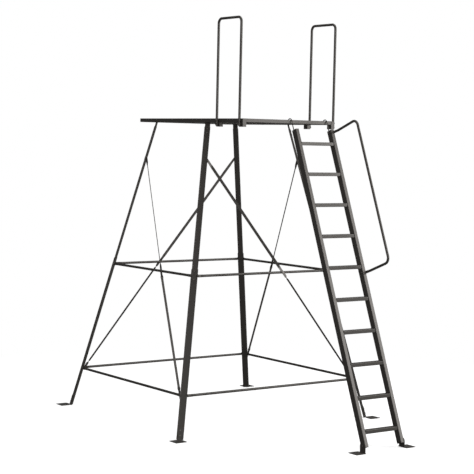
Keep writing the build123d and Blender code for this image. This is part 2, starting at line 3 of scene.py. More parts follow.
import bmesh
import bpy
import numpy as np
from bpy.props import FloatProperty, FloatVectorProperty, PointerProperty
from mathutils import Matrix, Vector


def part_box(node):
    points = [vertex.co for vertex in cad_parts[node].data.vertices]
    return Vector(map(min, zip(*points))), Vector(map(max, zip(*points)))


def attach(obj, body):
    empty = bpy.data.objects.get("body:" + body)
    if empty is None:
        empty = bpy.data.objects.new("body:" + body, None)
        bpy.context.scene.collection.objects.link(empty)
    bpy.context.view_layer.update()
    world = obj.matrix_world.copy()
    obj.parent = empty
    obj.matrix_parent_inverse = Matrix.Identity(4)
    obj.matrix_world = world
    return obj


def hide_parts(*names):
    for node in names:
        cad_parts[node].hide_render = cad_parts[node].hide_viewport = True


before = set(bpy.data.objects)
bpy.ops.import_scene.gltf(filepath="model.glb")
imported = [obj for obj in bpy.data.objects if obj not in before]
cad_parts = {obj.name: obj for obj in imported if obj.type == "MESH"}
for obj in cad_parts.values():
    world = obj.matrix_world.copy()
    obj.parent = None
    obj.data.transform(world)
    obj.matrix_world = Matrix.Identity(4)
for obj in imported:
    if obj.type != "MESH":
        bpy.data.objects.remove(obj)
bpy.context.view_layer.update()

bl_info = {
    "name": "Ladder Stand Maker",
    "version": (1, 0, 0),
    "blender": (4, 5, 0),
    "location": "View3D > Sidebar > Ladder Stand",
    "description": "Makes the tower, deck, rails, ladder and hardware of a ladder tree stand",
    "category": "Add Mesh",
}

# ---- Sizes of the frame that the pieces are built on, in metres ------------------------------

DECK_HEIGHT = 3.048
DECK_FRONT = 1.137
DECK_TUBE = 0.038
DECK_HALF_X = 0.561
BASE_HALF = (1.150, 1.045)
TOP_HALF = (0.495, 0.460)
JOINT_HEIGHT = 1.524
LOW_RING_HEIGHT = 0.408
STRAP_TOP_HEIGHT = 2.635
LEG_OVERLAP = 0.060
UPPER_TOP_HEIGHT = 2.965
STUB_BOTTOM_HEIGHT = 2.885
LEG_BOTTOM_GAP = 0.0045
LOWER_LEG = (0.066, 0.020)
UPPER_LEG = (0.058, 0.016)
STUB_LEG = (0.052, 0.012)
CHANNEL_WALL = 0.0025
CHANNEL_CORNER = 0.005
TUBE_WALL = 0.002

FOOT_PLATE = 0.005
FOOT_SIDE = 0.125
FOOT_TAB_WIDTH = 0.050
FOOT_TAB_LENGTH = 0.115
FOOT_START = 0.0115
FOOT_EDGE = 0.0008
FOOT_CORNER = 0.006
FOOT_BEND = 0.0065
FOOT_TAB_CORNER = 0.004
FOOT_BOLT_HEIGHTS = (0.040, 0.088)
JOINT_BOLT_REACH = 0.040
STUB_BOLT_REACH = 0.020

BRACE_RADIUS = 0.0125
BRACE_FLAT = 0.004
BRACE_FLAT_HEIGHT = 0.028
BRACE_NOSE = 0.006
BRACE_PRESS = (0.045, 0.045)
STRAP_THICKNESS = 0.003
STRAP_WIDTH = 0.028
STRAP_TAB_HEIGHT = 0.036
STRAP_END_MARGIN = 0.014
STRAP_TURN = {"upper": radians(28.0), "lower": radians(90.0)}
STRAP_TURN_START = 0.046
STRAP_TURN_LENGTH = 0.048
STRAP_SHEAR = (0.006, 0.030)
STRAP_EDGE = 0.0006
STRAP_CORNER = 0.006
STRAP_BLUNT = 0.0035
TAB_FOLD_RADIUS = 0.006
TAB_OUTER_END = 0.008
TAB_BEND_END = -0.014
FLANGE_BOLT_SHIFT = -0.003
FIT_GAP = 0.0003
CROSSING_GAP = 0.0005

RAIL_RADIUS = 0.0125
RAIL_WALL = 0.0015
RAIL_RISE = 0.973
RAIL_BEND = 0.048
POST_FRONT_Y = -1.101
POST_REAR_Y = -0.727
POST_BOTTOM_DROP = 0.073
BRACKET_PLATE = 0.003
BRACKET_HALF = 0.028
BRACKET_DROP = 0.042
BRACKET_BEND = 0.004

LADDER_LEAN = radians(21.6)
LEFT_STILE_X, RIGHT_STILE_X = 0.019, 0.458
STILE = (0.038, 0.064)
STILE_HEIGHTS = (0.045, 2.951)
TREAD_COUNT = 10
TREAD_FIRST = 0.181
TREAD_RISE = 0.2933
TREAD = (0.060, 0.034)
HOOK_ROD = 0.005
HOOK_RADIUS = 0.0305
HOOK_TURN = radians(190.0)
HOOK_ROOT = 0.010
CAP_THICKNESS = 0.003
PLUG_LENGTH = 0.040
PLUG_PLAY = 0.001
LADDER_OFFSET = 0.055
GRAB_REACH = 0.370
GRAB_BEND = 0.058
GRAB_HEIGHTS = (2.931, 1.588)
GRAB_BOLT_SHIFTS = (-0.012, 0.012)
GRAB_END = -0.022
GRAB_NOSE = 0.010
GRAB_PRESS = (0.054, 0.048)
PIVOT_HEIGHT = 0.062
LADDER_FOOT_TAB = 0.038
LADDER_FOOT_BEND = 0.0045

BOLT_SHANK = 0.004
BOLT_ACROSS = 0.0150
BOLT_TAIL = 0.0020
PIVOT_SHANK = 0.005
PIVOT_ACROSS = 0.018
PRESSED_SIDES = 32

UP = np.array([0.0, 0.0, 1.0])
X_AXIS = np.array([1.0, 0.0, 0.0])
Y_AXIS = np.array([0.0, 1.0, 0.0])
TOWER_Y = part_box("deck_front_tube")[0][1] + DECK_FRONT
CORNERS = {
    "front_left": (-1, -1),
    "front_right": (1, -1),
    "rear_left": (-1, 1),
    "rear_right": (1, 1),
}
# Each face of the tower: its outward normal, the leg its strap leaves from, the leg it goes to
FACES = {
    "front": (-Y_AXIS, "front_left", "front_right"),
    "right": (X_AXIS, "front_right", "rear_right"),
    "rear": (Y_AXIS, "rear_right", "rear_left"),
    "left": (-X_AXIS, "rear_left", "front_left"),
}
LADDER_UP = np.array([0.0, np.sin(LADDER_LEAN), np.cos(LADDER_LEAN)])
LADDER_FRONT = np.array([0.0, -np.cos(LADDER_LEAN), np.sin(LADDER_LEAN)])
HOOK_HEIGHT = DECK_HEIGHT - DECK_TUBE / 2
DECK_UNDERSIDE = DECK_HEIGHT - DECK_TUBE
RAIL_POST_X = DECK_HALF_X + BRACKET_PLATE + RAIL_RADIUS
STILES = {"left": (LEFT_STILE_X, -1), "right": (RIGHT_STILE_X, 1)}
TREAD_HEIGHTS = [TREAD_FIRST + index * TREAD_RISE for index in range(TREAD_COUNT)]
JOISTS = [f"deck_joist_{name}" for name in ("front", "front_leg", "middle", "rear_leg")]
CROSS_TUBES = ["deck_front_tube", "deck_rear_tube"]
SIDE_TUBES = ["deck_left_tube", "deck_right_tube"]

# ---- Stage -----------------------------------------------------------------------------------

FLOOR_RADIUS = 5.0
FLOOR_SIDES = 96
CAMERA_PLACE = (-8.6574, -12.2867, 2.8284)
CAMERA_YAW, CAMERA_PITCH, CAMERA_ROLL = radians(35.851), radians(-3.782), radians(1.245)
# Each softbox: where it stands, what it faces, its side, and the setting that holds its power
SOFTBOXES = {
    "key_softbox": ((7.3, -9.0, 5.6), (0.0, 0.0, 1.6), 7.0, "key"),
    "top_softbox": ((0.5, -1.0, 11.0), (0.0, 0.3, 0.0), 6.0, "fill"),
    "front_softbox": ((-7.5, -10.0, 3.5), (0.0, 0.0, 1.6), 4.0, "front"),
}


# ---- Settings --------------------------------------------------------------------------------


class StandFinish(bpy.types.PropertyGroup):
    """Colours and finish of the stand."""

    coat: FloatVectorProperty(
        name="Powder coat", description="Colour of the frame's powder coat",
        subtype="COLOR", size=3, min=0.0, max=1.0, default=(0.0235, 0.0220, 0.0185))
    coat_light: FloatVectorProperty(
        name="Powder coat, worn", description="Colour of the coat where edges have rubbed",
        subtype="COLOR", size=3, min=0.0, max=1.0, default=(0.075, 0.071, 0.061))
    coat_roughness: FloatProperty(
        name="Coat roughness", description="Roughness of the powder coat",
        subtype="FACTOR", min=0.0, max=1.0, default=0.50)
    coat_shine: FloatProperty(
        name="Coat shine", description="How strongly the powder coat mirrors light",
        subtype="FACTOR", min=0.0, max=1.0, default=0.25)
    steel: FloatVectorProperty(
        name="Hardware", description="Colour of the bolts and nuts",
        subtype="COLOR", size=3, min=0.0, max=1.0, default=(0.20, 0.19, 0.175))
    grain: FloatProperty(
        name="Coat grain", description="Size of the powder coat's fine pimples",
        subtype="DISTANCE", unit="LENGTH", min=0.0002, max=0.01, default=0.0016)


class StandDetail(bpy.types.PropertyGroup):
    """Sizes of the details that the frame does not fix."""

    edge: FloatProperty(
        name="Soft edge", description="Rounding of cut edges",
        subtype="DISTANCE", unit="LENGTH", min=0.0001, max=0.002, default=0.0006)
    weld: FloatProperty(
        name="Weld bead", description="Radius of the weld beads",
        subtype="DISTANCE", unit="LENGTH", min=0.001, max=0.006, default=0.0028)
    mesh_long: FloatProperty(
        name="Mesh length", description="Long way of one diamond of the deck mesh",
        subtype="DISTANCE", unit="LENGTH", min=0.02, max=0.12, default=0.0581)
    mesh_short: FloatProperty(
        name="Mesh width", description="Short way of one diamond of the deck mesh",
        subtype="DISTANCE", unit="LENGTH", min=0.01, max=0.06, default=0.0240)
    strand: FloatProperty(
        name="Mesh strand", description="Width of the deck mesh's strands",
        subtype="DISTANCE", unit="LENGTH", min=0.001, max=0.008, default=0.0040)


class StandStage(bpy.types.PropertyGroup):
    """Floor, lights and camera."""

    floor: FloatVectorProperty(
        name="Floor", description="Colour of the studio floor",
        subtype="COLOR", size=3, min=0.0, max=1.0, default=(0.80, 0.80, 0.80))
    glow: FloatProperty(
        name="Floor glow", description="How brightly the floor glows where it is looked at",
        min=0.0, default=0.70)
    key: FloatProperty(
        name="Key light", description="Power of the large light on the right",
        subtype="POWER", unit="POWER", min=0.0, default=900.0)
    fill: FloatProperty(
        name="Fill light", description="Power of the light overhead",
        subtype="POWER", unit="POWER", min=0.0, default=350.0)
    sky: FloatProperty(
        name="Sky", description="Strength of the even light all round",
        min=0.0, default=0.14)
    bounce: FloatProperty(
        name="Floor bounce", description="Share of its light that the floor throws back up",
        subtype="FACTOR", min=0.0, max=1.0, default=0.13)
    front: FloatProperty(
        name="Front light", description="Power of the weak light on the left",
        subtype="POWER", unit="POWER", min=0.0, default=330.0)
    backdrop: FloatProperty(
        name="Backdrop", description="Brightness of the plain backdrop behind the stand",
        min=0.0, default=1.0)
    lens: FloatProperty(
        name="Lens", description="Focal length of the camera",
        min=20.0, max=400.0, default=109.83)


# ---- Surfaces --------------------------------------------------------------------------------


def unit(vectors):
    """Each vector divided by its length."""
    vectors = np.asarray(vectors, float)
    return vectors / np.linalg.norm(vectors, axis=-1, keepdims=True)


def path_length(path):
    """The sum of the steps along a path."""
    return np.linalg.norm(np.diff(path, axis=0), axis=1).sum()


def smooth_step(values):
    """0 below 0, 1 above 1, and 3v^2 - 2v^3 between."""
    values = np.clip(values, 0.0, 1.0)
    return values * values * (3.0 - 2.0 * values)


def rounded_outline(corners, radii, steps=4, shoulder=0.0020):
    """A closed outline with round corners, counter-clockwise, and how exposed each point is.

    Each corner becomes an arc that touches both of its edges: it starts the radius times the
    tangent of half the turn before the corner, and its centre lies one radius to the side. A
    point on each side of the arc keeps the exposed strip narrow.
    """
    corners = np.asarray(corners, float)
    radii = np.broadcast_to(np.asarray(radii, float), len(corners))
    into = unit(corners - np.roll(corners, 1, axis=0))
    out = np.roll(into, -1, axis=0)
    turn = np.arctan2(into[:, 0] * out[:, 1] - into[:, 1] * out[:, 0], (into * out).sum(1))
    reach = radii * np.tan(np.abs(turn) / 2)
    start = corners - into * reach[:, None]
    side = np.stack([-into[:, 1], into[:, 0]], 1) * np.sign(turn)[:, None]
    centre = start + side * radii[:, None]
    arm = start - centre
    angle = turn[:, None] * np.linspace(0.0, 1.0, steps + 1)
    arc_x = arm[:, :1] * np.cos(angle) - arm[:, 1:] * np.sin(angle)
    arc_y = arm[:, :1] * np.sin(angle) + arm[:, 1:] * np.cos(angle)
    arc = centre[:, None] + np.stack([arc_x, arc_y], -1)
    length = np.linalg.norm(np.roll(corners, -1, axis=0) - corners, axis=1)
    free = length - reach - np.roll(reach, -1)
    after = np.minimum(shoulder, 0.3 * free)
    first = start - into * np.roll(after, 1)[:, None]
    last = arc[:, -1] + out * after[:, None]
    points = np.concatenate([first[:, None], arc, last[:, None]], axis=1)
    exposed = np.zeros(points.shape[:2])
    exposed[:, 1:-1] = (turn > 0)[:, None]
    return points.reshape(-1, 2), exposed.reshape(-1)


def box_outline(width, depth, radius, steps=4):
    """A rectangle with round corners, centred on 0."""
    x, y = width / 2, depth / 2
    return rounded_outline([(-x, -y), (x, -y), (x, y), (-x, y)], radius, steps)


def channel_outline(width, depth):
    """A channel: web on the +y side, flanges towards -y, round outside corners and soft lips."""
    x, y, wall, lip = width / 2, depth / 2, CHANNEL_WALL, 0.0008
    corners = [(-x, -y), (-x + wall, -y), (-x + wall, y - wall), (x - wall, y - wall),
               (x - wall, -y), (x, -y), (x, y), (-x, y)]
    bend = CHANNEL_CORNER
    return rounded_outline(corners, [lip, lip, bend - wall, bend - wall, lip, lip, bend, bend])


def circle_outline(radius, sides):
    """Points at equal angles round a circle."""
    angle = np.arange(sides) / sides * 2 * np.pi
    return np.stack([np.cos(angle), np.sin(angle)], 1) * radius


def stadium_outline(height, thickness, sides):
    """A flat bar with round edges, its points at equal steps along its edge, x along height."""
    radius = thickness / 2
    straight = height - thickness
    quarter = np.pi * radius / 2
    total = 2 * straight + 4 * quarter
    place = np.arange(sides) / sides * total
    low, high = quarter, quarter + straight
    mirrored = place > total / 2
    half = np.where(mirrored, total - place, place)
    angle = np.where(half < low, half / radius, np.pi / 2)
    angle = np.where(half > high, np.pi / 2 + (half - high) / radius, angle)
    centre_x = straight / 2 - np.clip(half - low, 0.0, straight)
    x = centre_x + radius * np.cos(angle)
    y = radius * np.sin(angle) * np.where(mirrored, -1.0, 1.0)
    return np.stack([x, y], 1)


def shrunk(outline, inset):
    """The outline moved inwards by inset along its own normals."""
    along = np.roll(outline, -1, axis=0) - np.roll(outline, 1, axis=0)
    normals = unit(np.stack([along[:, 1], -along[:, 0]], 1))
    return outline - normals * inset


def carried(outline, origins, across, upward):
    """Every outline point at every station: origin + x * across + y * upward."""
    outline = np.asarray(outline)
    if outline.ndim == 2:
        outline = outline[None]
    across = np.broadcast_to(across, origins.shape)
    upward = np.broadcast_to(upward, origins.shape)
    return origins[:, None] + outline[..., :1] * across[:, None] + outline[..., 1:] * upward[:, None]


def bent_path(points, radii, steps=8):
    """Straight runs joined by arcs that touch both, as points and headings along the path.

    On each arc the point is start + r sin(a) * heading + r (1 - cos(a)) * side, and the heading
    turns from the first run's to the second's.
    """
    points = np.asarray(points, float)
    into = unit(points[1:-1] - points[:-2])
    out = unit(points[2:] - points[1:-1])
    dot = np.clip((into * out).sum(1), -1.0, 1.0)
    turn = np.arccos(dot)
    radii = np.broadcast_to(np.asarray(radii, float), turn.shape)
    start = points[1:-1] - into * (radii * np.tan(turn / 2))[:, None]
    side = unit(out - into * dot[:, None])
    angle = (turn[:, None] * np.linspace(0.0, 1.0, steps + 1))[..., None]
    arc = start[:, None] + radii[:, None, None] * (
        into[:, None] * np.sin(angle) + side[:, None] * (1 - np.cos(angle)))
    heading = into[:, None] * np.cos(angle) + side[:, None] * np.sin(angle)
    path = np.concatenate([points[:1], arc.reshape(-1, 3), points[-1:]])
    headings = np.concatenate([into[:1], heading.reshape(-1, 3), out[-1:]])
    return path, headings


def with_stations(path, headings, places):
    """The path with more stations, at places measured along it."""
    steps = np.linalg.norm(np.diff(path, axis=0), axis=1)
    along = np.concatenate([[0.0], np.cumsum(steps)])
    places = np.asarray(places, float)
    places = places[(places > 0) & (places < along[-1])]
    every = np.unique(np.round(np.concatenate([along, places]), 6))
    every = every[np.concatenate([[True], np.diff(every) > 1e-5])]
    more = np.stack([np.interp(every, along, path[:, i]) for i in range(3)], 1)
    ways = np.stack([np.interp(every, along, headings[:, i]) for i in range(3)], 1)
    return every, more, unit(ways)


END_STRIP = 0.004
ENDS_WORN = np.array([1.0, 1.0, 0.0, 0.0, 1.0, 1.0])[:, None]


def end_stations(length, edge):
    """Six places along a bar: two at each softened end, and one a short strip in from each."""
    strip = min(END_STRIP, length / 4)
    return np.array([0.0, edge, strip, length - strip, length - edge, length])


def softened(outline, edge):
    """The outline at those six places, drawn in by edge at both ends."""
    drawn_in = shrunk(outline, edge)
    return np.stack([drawn_in, outline, outline, outline, outline, drawn_in])


def frames_on(headings, guide):
    """Two directions square to each heading: one in the plane of the guide, one square to it."""
    sideways = unit(np.cross(headings, guide))
    return np.cross(sideways, headings), sideways


class Surface:
    """Collects closed surfaces, each a grid of rings, and puts them into one mesh."""

    def __init__(self):
        self.points, self.quads, self.caps, self.wear = [], [], [], []
        self.count = 0

    def add(self, rings, wear=0.0, wrap=False):
        """Joins each ring to the next. The two ends are capped, or joined if wrap is set."""
        stations, sides, _ = rings.shape
        index = np.arange(stations * sides).reshape(stations, sides) + self.count
        if wrap:
            index = np.vstack([index, index[:1]])
        else:
            self.caps += [index[0, ::-1].tolist(), index[-1].tolist()]
        here, there = index[:-1], index[1:]
        quads = np.stack([here, np.roll(here, -1, 1), np.roll(there, -1, 1), there], -1)
        self.points.append(rings.reshape(-1, 3))
        self.quads.append(quads.reshape(-1, 4))
        self.wear.append(np.broadcast_to(wear, (stations, sides)).reshape(-1).astype(float))
        self.count += stations * sides
        return self

    def bar(self, outline, wear, start, end, across, edge, cut=None):
        """A straight bar with softened ends. cut moves the last rings along it to a height."""
        along = unit(end - start)
        places = end_stations(np.linalg.norm(end - start), edge)
        origins = start + places[:, None] * along
        rings = carried(softened(outline, edge), origins, across, np.cross(along, across))
        if cut is not None:
            for ring in (3, 4, 5):
                drop = places[-1] - places[ring]
                rings[ring] += along * ((cut - drop - rings[ring][:, 2:]) / along[2])
        return self.add(rings, np.maximum(wear[None], ENDS_WORN))

    def hollow_bar(self, outer, inner, wear, start, end, across, edge):
        """A straight tube: out along its outside, back along its bore, and joined."""
        along = unit(end - start)
        upward = np.cross(along, across)
        origins = start + end_stations(np.linalg.norm(end - start), edge)[:, None] * along
        outside = carried(softened(outer, edge), origins, across, upward)
        inside = carried(softened(inner, -edge / 2), origins, across, upward)[::-1]
        outer_wear = np.maximum(wear[None], ENDS_WORN)
        worn = np.concatenate([outer_wear, np.zeros_like(outer_wear)])
        return self.add(np.concatenate([outside, inside]), worn, wrap=True)

    def pipe(self, path, headings, guide, radius, wall, sides=24):
        """A round tube along a path, with its bore."""
        across, upward = frames_on(headings, guide)
        outer = carried(circle_outline(radius, sides), path, across, upward)
        inner = carried(circle_outline(radius - wall, sides), path, across, upward)[::-1]
        return self.add(np.concatenate([outer, inner]), wrap=True)

    def build(self, name, material, body, slot, replaced=(), sharp=38.0):
        """Puts the surfaces into a mesh object that rides on a body."""
        mesh = bpy.data.meshes.new(name)
        quads = np.concatenate(self.quads).tolist()
        mesh.from_pydata(np.concatenate(self.points).tolist(), [], quads + self.caps)
        wear = mesh.attributes.new("wear", "FLOAT", "POINT")
        wear.data.foreach_set("value", np.concatenate(self.wear))
        work = bmesh.new()
        work.from_mesh(mesh)
        bmesh.ops.recalc_face_normals(work, faces=work.faces)
        work.to_mesh(mesh)
        work.free()
        mesh.shade_smooth()
        mesh.set_sharp_from_angle(angle=radians(sharp))
        mesh.materials.append(material)
        piece = bpy.data.objects.new(name, mesh)
        bpy.context.scene.collection.objects.link(piece)
        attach(piece, body)
        if replaced:
            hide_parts(*replaced)
        return piece


def pressed_tube(radius, share, inset, nose, least):
    """A round tube's outline at every station, pressed into a flat bar where share is 0.

    Each ring is flat * (1 - share) + circle * share. Within nose of an end its height falls as
    a quarter circle does, down to least of the whole.
    """
    flat = stadium_outline(BRACE_FLAT_HEIGHT, BRACE_FLAT, PRESSED_SIDES)
    share = share[:, None, None]
    outline = flat[None] * (1 - share) + circle_outline(radius, PRESSED_SIDES)[None] * share
    quarter = np.sqrt(np.clip(1 - (1 - np.minimum(inset / nose, 1)) ** 2, 0, 1))
    trim = least + (1 - least) * quarter
    return outline * np.stack([trim, np.ones_like(trim)], 1)[:, None]


def plate_rings(half, path, across, upward):
    """A foot plate's outline carried along a path, with half its width given at each station.

    Points of the outline keep their distance from its edge, less where the plate is very narrow.
    """
    outline, wear = box_outline(2.0, FOOT_PLATE, FOOT_EDGE, 3)
    outline = np.repeat(outline[None], len(path), axis=0)
    side = np.sign(outline[..., 0])
    inset = (outline[..., 0] - side) * np.minimum(1.0, half / 0.005)[:, None]
    outline[..., 0] = side * half[:, None] + inset
    return carried(outline, path, across, upward), wear


# ---- Places on the frame ---------------------------------------------------------------------


def deck_point(x, y, z):
    """A point given from the tower's own centre line."""
    return np.array([x, y + TOWER_Y, z])


def leg_point(corner, height):
    """The leg's centre line at a height above the ground."""
    share = height / DECK_HEIGHT
    half = np.array(BASE_HALF) + (np.array(TOP_HALF) - np.array(BASE_HALF)) * share
    return deck_point(corner[0] * half[0], corner[1] * half[1], height)


def leg_frame(corner):
    """The leg's axis, its outward normal, its width direction and the flat outward diagonal."""
    axis = unit(leg_point(corner, DECK_HEIGHT) - leg_point(corner, 0.0))
    diagonal = unit(np.array([corner[0], corner[1], 0.0]))
    outward = unit(diagonal - axis * (diagonal @ axis))
    return axis, outward, unit(np.cross(outward, axis)), diagonal


def flange_side(corner, face_normal):
    """+1 or -1: which flange of the leg looks towards that face of the tower."""
    return 1.0 if leg_frame(corner)[2] @ face_normal > 0 else -1.0


def flange_place(corner, face_normal, height, stand_off, along):
    """A point beside the leg's flange: stand_off from the leg's middle, along its depth."""
    _, outward, width, _ = leg_frame(corner)
    side = flange_side(corner, face_normal)
    return leg_point(corner, height) + width * (side * stand_off) + outward * along


BRACE_STAND_OFF = LOWER_LEG[0] / 2 + FIT_GAP + BRACE_FLAT / 2
STRAP_TOP_STAND_OFF = UPPER_LEG[0] / 2 + FIT_GAP + STRAP_THICKNESS / 2
STRAP_LOW_STAND_OFF = BRACE_STAND_OFF + BRACE_FLAT / 2 + FIT_GAP + STRAP_THICKNESS / 2
STRAP_LOW_BEND = TAB_BEND_END + (STRAP_LOW_STAND_OFF - BRACE_STAND_OFF) * np.tan(np.pi / 8)


def strap_route(face):
    """The strap's two bends, where its halves are bolted to the middle brace, and the way out."""
    normal, from_name, to_name = FACES[face]
    start, end = CORNERS[from_name], CORNERS[to_name]
    top = flange_place(start, normal, STRAP_TOP_HEIGHT, STRAP_TOP_STAND_OFF, TAB_BEND_END)
    low = flange_place(end, normal, LOW_RING_HEIGHT, STRAP_LOW_STAND_OFF, STRAP_LOW_BEND)
    fold = flange_place(start, normal, JOINT_HEIGHT, BRACE_STAND_OFF, TAB_BEND_END)
    far_fold = flange_place(end, normal, JOINT_HEIGHT, BRACE_STAND_OFF, TAB_BEND_END)
    run = unit(far_fold - fold)
    crossing = top + (low - top) * ((top[2] - JOINT_HEIGHT) / (top[2] - low[2]))
    on_brace = fold + run * ((crossing - fold) @ run)
    lift = unit(np.cross(run, low - top))
    lift = lift * np.sign(lift @ normal)
    upper_end = on_brace + lift * (BRACE_RADIUS + CROSSING_GAP + STRAP_THICKNESS / 2)
    lower_end = upper_end + lift * (STRAP_THICKNESS + CROSSING_GAP)
    return top, low, upper_end, lower_end, on_brace, lift


def ladder_point(x, height, forward=0.0):
    """A point on the line of a stile at a height, moved off it square to the ladder's front."""
    top_y = -DECK_FRONT + DECK_TUBE / 2 - LADDER_OFFSET / np.cos(LADDER_LEAN)
    line_y = top_y - (HOOK_HEIGHT - height) * np.tan(LADDER_LEAN)
    return deck_point(x, line_y, height) + LADDER_FRONT * forward


# ---- Finishes --------------------------------------------------------------------------------


class Nodes:
    """Short calls for laying out a material's nodes."""

    def __init__(self, name):
        self.material = bpy.data.materials.new(name)
        self.material.use_nodes = True
        self.tree = self.material.node_tree
        self.shader = self.tree.nodes["Principled BSDF"]
        self.place = self.tree.nodes.new("ShaderNodeTexCoord").outputs["Object"]

    def link(self, source, target):
        """Joins two sockets."""
        self.tree.links.new(source, target)
        return target

    def noise(self, scale, detail=3.0, roughness=0.55):
        """Even noise whose lumps are about 1 / scale across, in metres."""
        node = self.tree.nodes.new("ShaderNodeTexNoise")
        node.inputs["Scale"].default_value = scale
        node.inputs["Detail"].default_value = detail
        node.inputs["Roughness"].default_value = roughness
        self.link(self.place, node.inputs["Vector"])
        return node.outputs["Fac"]

    def range(self, value, low, high, to_low, to_high):
        """Maps low..high to to_low..to_high and holds it there."""
        node = self.tree.nodes.new("ShaderNodeMapRange")
        node.inputs["From Min"].default_value = low
        node.inputs["From Max"].default_value = high
        node.inputs["To Min"].default_value = to_low
        node.inputs["To Max"].default_value = to_high
        self.link(value, node.inputs["Value"])
        return node.outputs["Result"]

    def maths(self, operation, first, second):
        """Adds or multiplies two values, held between 0 and 1."""
        node = self.tree.nodes.new("ShaderNodeMath")
        node.operation = operation
        node.use_clamp = True
        for value, socket in zip((first, second), node.inputs):
            if isinstance(value, float):
                socket.default_value = value
            else:
                self.link(value, socket)
        return node.outputs[0]

    def mix(self, factor, first, second):
        """Blends two colours."""
        node = self.tree.nodes.new("ShaderNodeMix")
        node.data_type = "RGBA"
        self.link(factor, node.inputs["Factor"])
        for value, socket in zip((first, second), (node.inputs[6], node.inputs[7])):
            if isinstance(value, tuple):
                socket.default_value = (*value, 1.0)
            else:
                self.link(value, socket)
        return node.outputs[2]

    def attribute(self, name):
        """A value that the mesh holds at each point."""
        node = self.tree.nodes.new("ShaderNodeAttribute")
        node.attribute_name = name
        return node.outputs["Fac"]

    def height(self):
        """The height above the ground."""
        node = self.tree.nodes.new("ShaderNodeSeparateXYZ")
        self.link(self.place, node.inputs[0])
        return node.outputs["Z"]

    def bump(self, height, strength, distance, under=None):
        """Tilts the surface as if raised by height, on top of another bump if one is given."""
        node = self.tree.nodes.new("ShaderNodeBump")
        node.inputs["Strength"].default_value = strength
        node.inputs["Distance"].default_value = distance
        self.link(height, node.inputs["Height"])
        if under is not None:
            self.link(under, node.inputs["Normal"])
        return node.outputs["Normal"]


def scaled(colour, factor):
    """The colour made lighter or darker."""
    return tuple(min(1.0, channel * factor) for channel in colour)


def powder_coat(name, finish, tint=1.0, worn=1.0):
    """Satin powder coat: fine pimples, slow changes of tone, rubbed edges, dust near the ground."""
    nodes = Nodes(name)
    base = scaled(finish.coat, tint)
    tone = nodes.range(nodes.noise(3.2, 4.0), 0.35, 0.65, 0.0, 1.0)
    colour = nodes.mix(tone, scaled(base, 0.88), scaled(base, 1.12))
    speck = nodes.range(nodes.noise(420.0, 2.0), 0.60, 0.72, 0.0, 0.35)
    colour = nodes.mix(speck, colour, scaled(base, 1.55))
    rub_noise = nodes.range(nodes.noise(38.0, 5.0, 0.65), 0.50, 0.66, 0.0, 0.75 * worn)
    rub = nodes.maths("MULTIPLY", nodes.attribute("wear"), rub_noise)
    colour = nodes.mix(rub, colour, tuple(finish.coat_light))
    ground = nodes.range(nodes.height(), 0.0, 0.22, 0.55, 0.0)
    dust = nodes.maths("MULTIPLY", ground, nodes.range(nodes.noise(26.0, 5.0), 0.42, 0.68, 0.0, 1.0))
    colour = nodes.mix(dust, colour, scaled(finish.coat_light, 1.15))
    nodes.link(colour, nodes.shader.inputs["Base Color"])
    smoother, rougher = finish.coat_roughness - 0.07, finish.coat_roughness + 0.08
    rough = nodes.range(nodes.noise(11.0, 4.0), 0.3, 0.7, smoother, rougher)
    dusty = nodes.maths("ADD", rough, nodes.maths("MULTIPLY", dust, 0.3))
    nodes.link(dusty, nodes.shader.inputs["Roughness"])
    pimples = nodes.noise(1.0 / finish.grain, 2.0, 0.5)
    wave = nodes.bump(nodes.noise(55.0, 2.0), 0.25, 0.0006)
    nodes.link(nodes.bump(pimples, 0.30, 0.00025, wave), nodes.shader.inputs["Normal"])
    nodes.shader.inputs["Specular IOR Level"].default_value = finish.coat_shine
    return nodes.material


def plated_steel(name, finish):
    """Dull plated steel of the bolts: grey, cloudy, a little brushed."""
    nodes = Nodes(name)
    base = tuple(finish.steel)
    cloud = nodes.range(nodes.noise(90.0, 4.0), 0.35, 0.7, 0.0, 1.0)
    colour = nodes.mix(cloud, scaled(base, 0.7), scaled(base, 1.25))
    nodes.link(colour, nodes.shader.inputs["Base Color"])
    nodes.shader.inputs["Metallic"].default_value = 0.85
    nodes.link(nodes.range(nodes.noise(300.0, 3.0), 0.3, 0.7, 0.34, 0.52), nodes.shader.inputs["Roughness"])
    nodes.link(nodes.bump(nodes.noise(700.0, 2.0), 0.2, 0.0001), nodes.shader.inputs["Normal"])
    return nodes.material


# Each coat: how light it is, and how worn, beside the frame's own
COATS = {
    "powder_coat": (1.0, 1.0),
    "tread_coat": (1.08, 1.4),
    "deck_mesh_coat": (0.92, 0.6),
    "weld_coat": (0.95, 0.2),
}


def finishes(context):
    """The stand's materials by name, each made once."""
    finish = context.scene.stand_finish
    made = {name: bpy.data.materials.get(name) or powder_coat(name, finish, tint, worn)
            for name, (tint, worn) in COATS.items()}
    steel = "plated_steel"
    made[steel] = bpy.data.materials.get(steel) or plated_steel(steel, finish)
    return made


# ---- Operators -------------------------------------------------------------------------------


def finished(operator, made):
    """Ends an operator. One that made nothing stops the script."""
    if not made:
        raise RuntimeError(f"{operator.bl_label} made nothing")
    return {"FINISHED"}


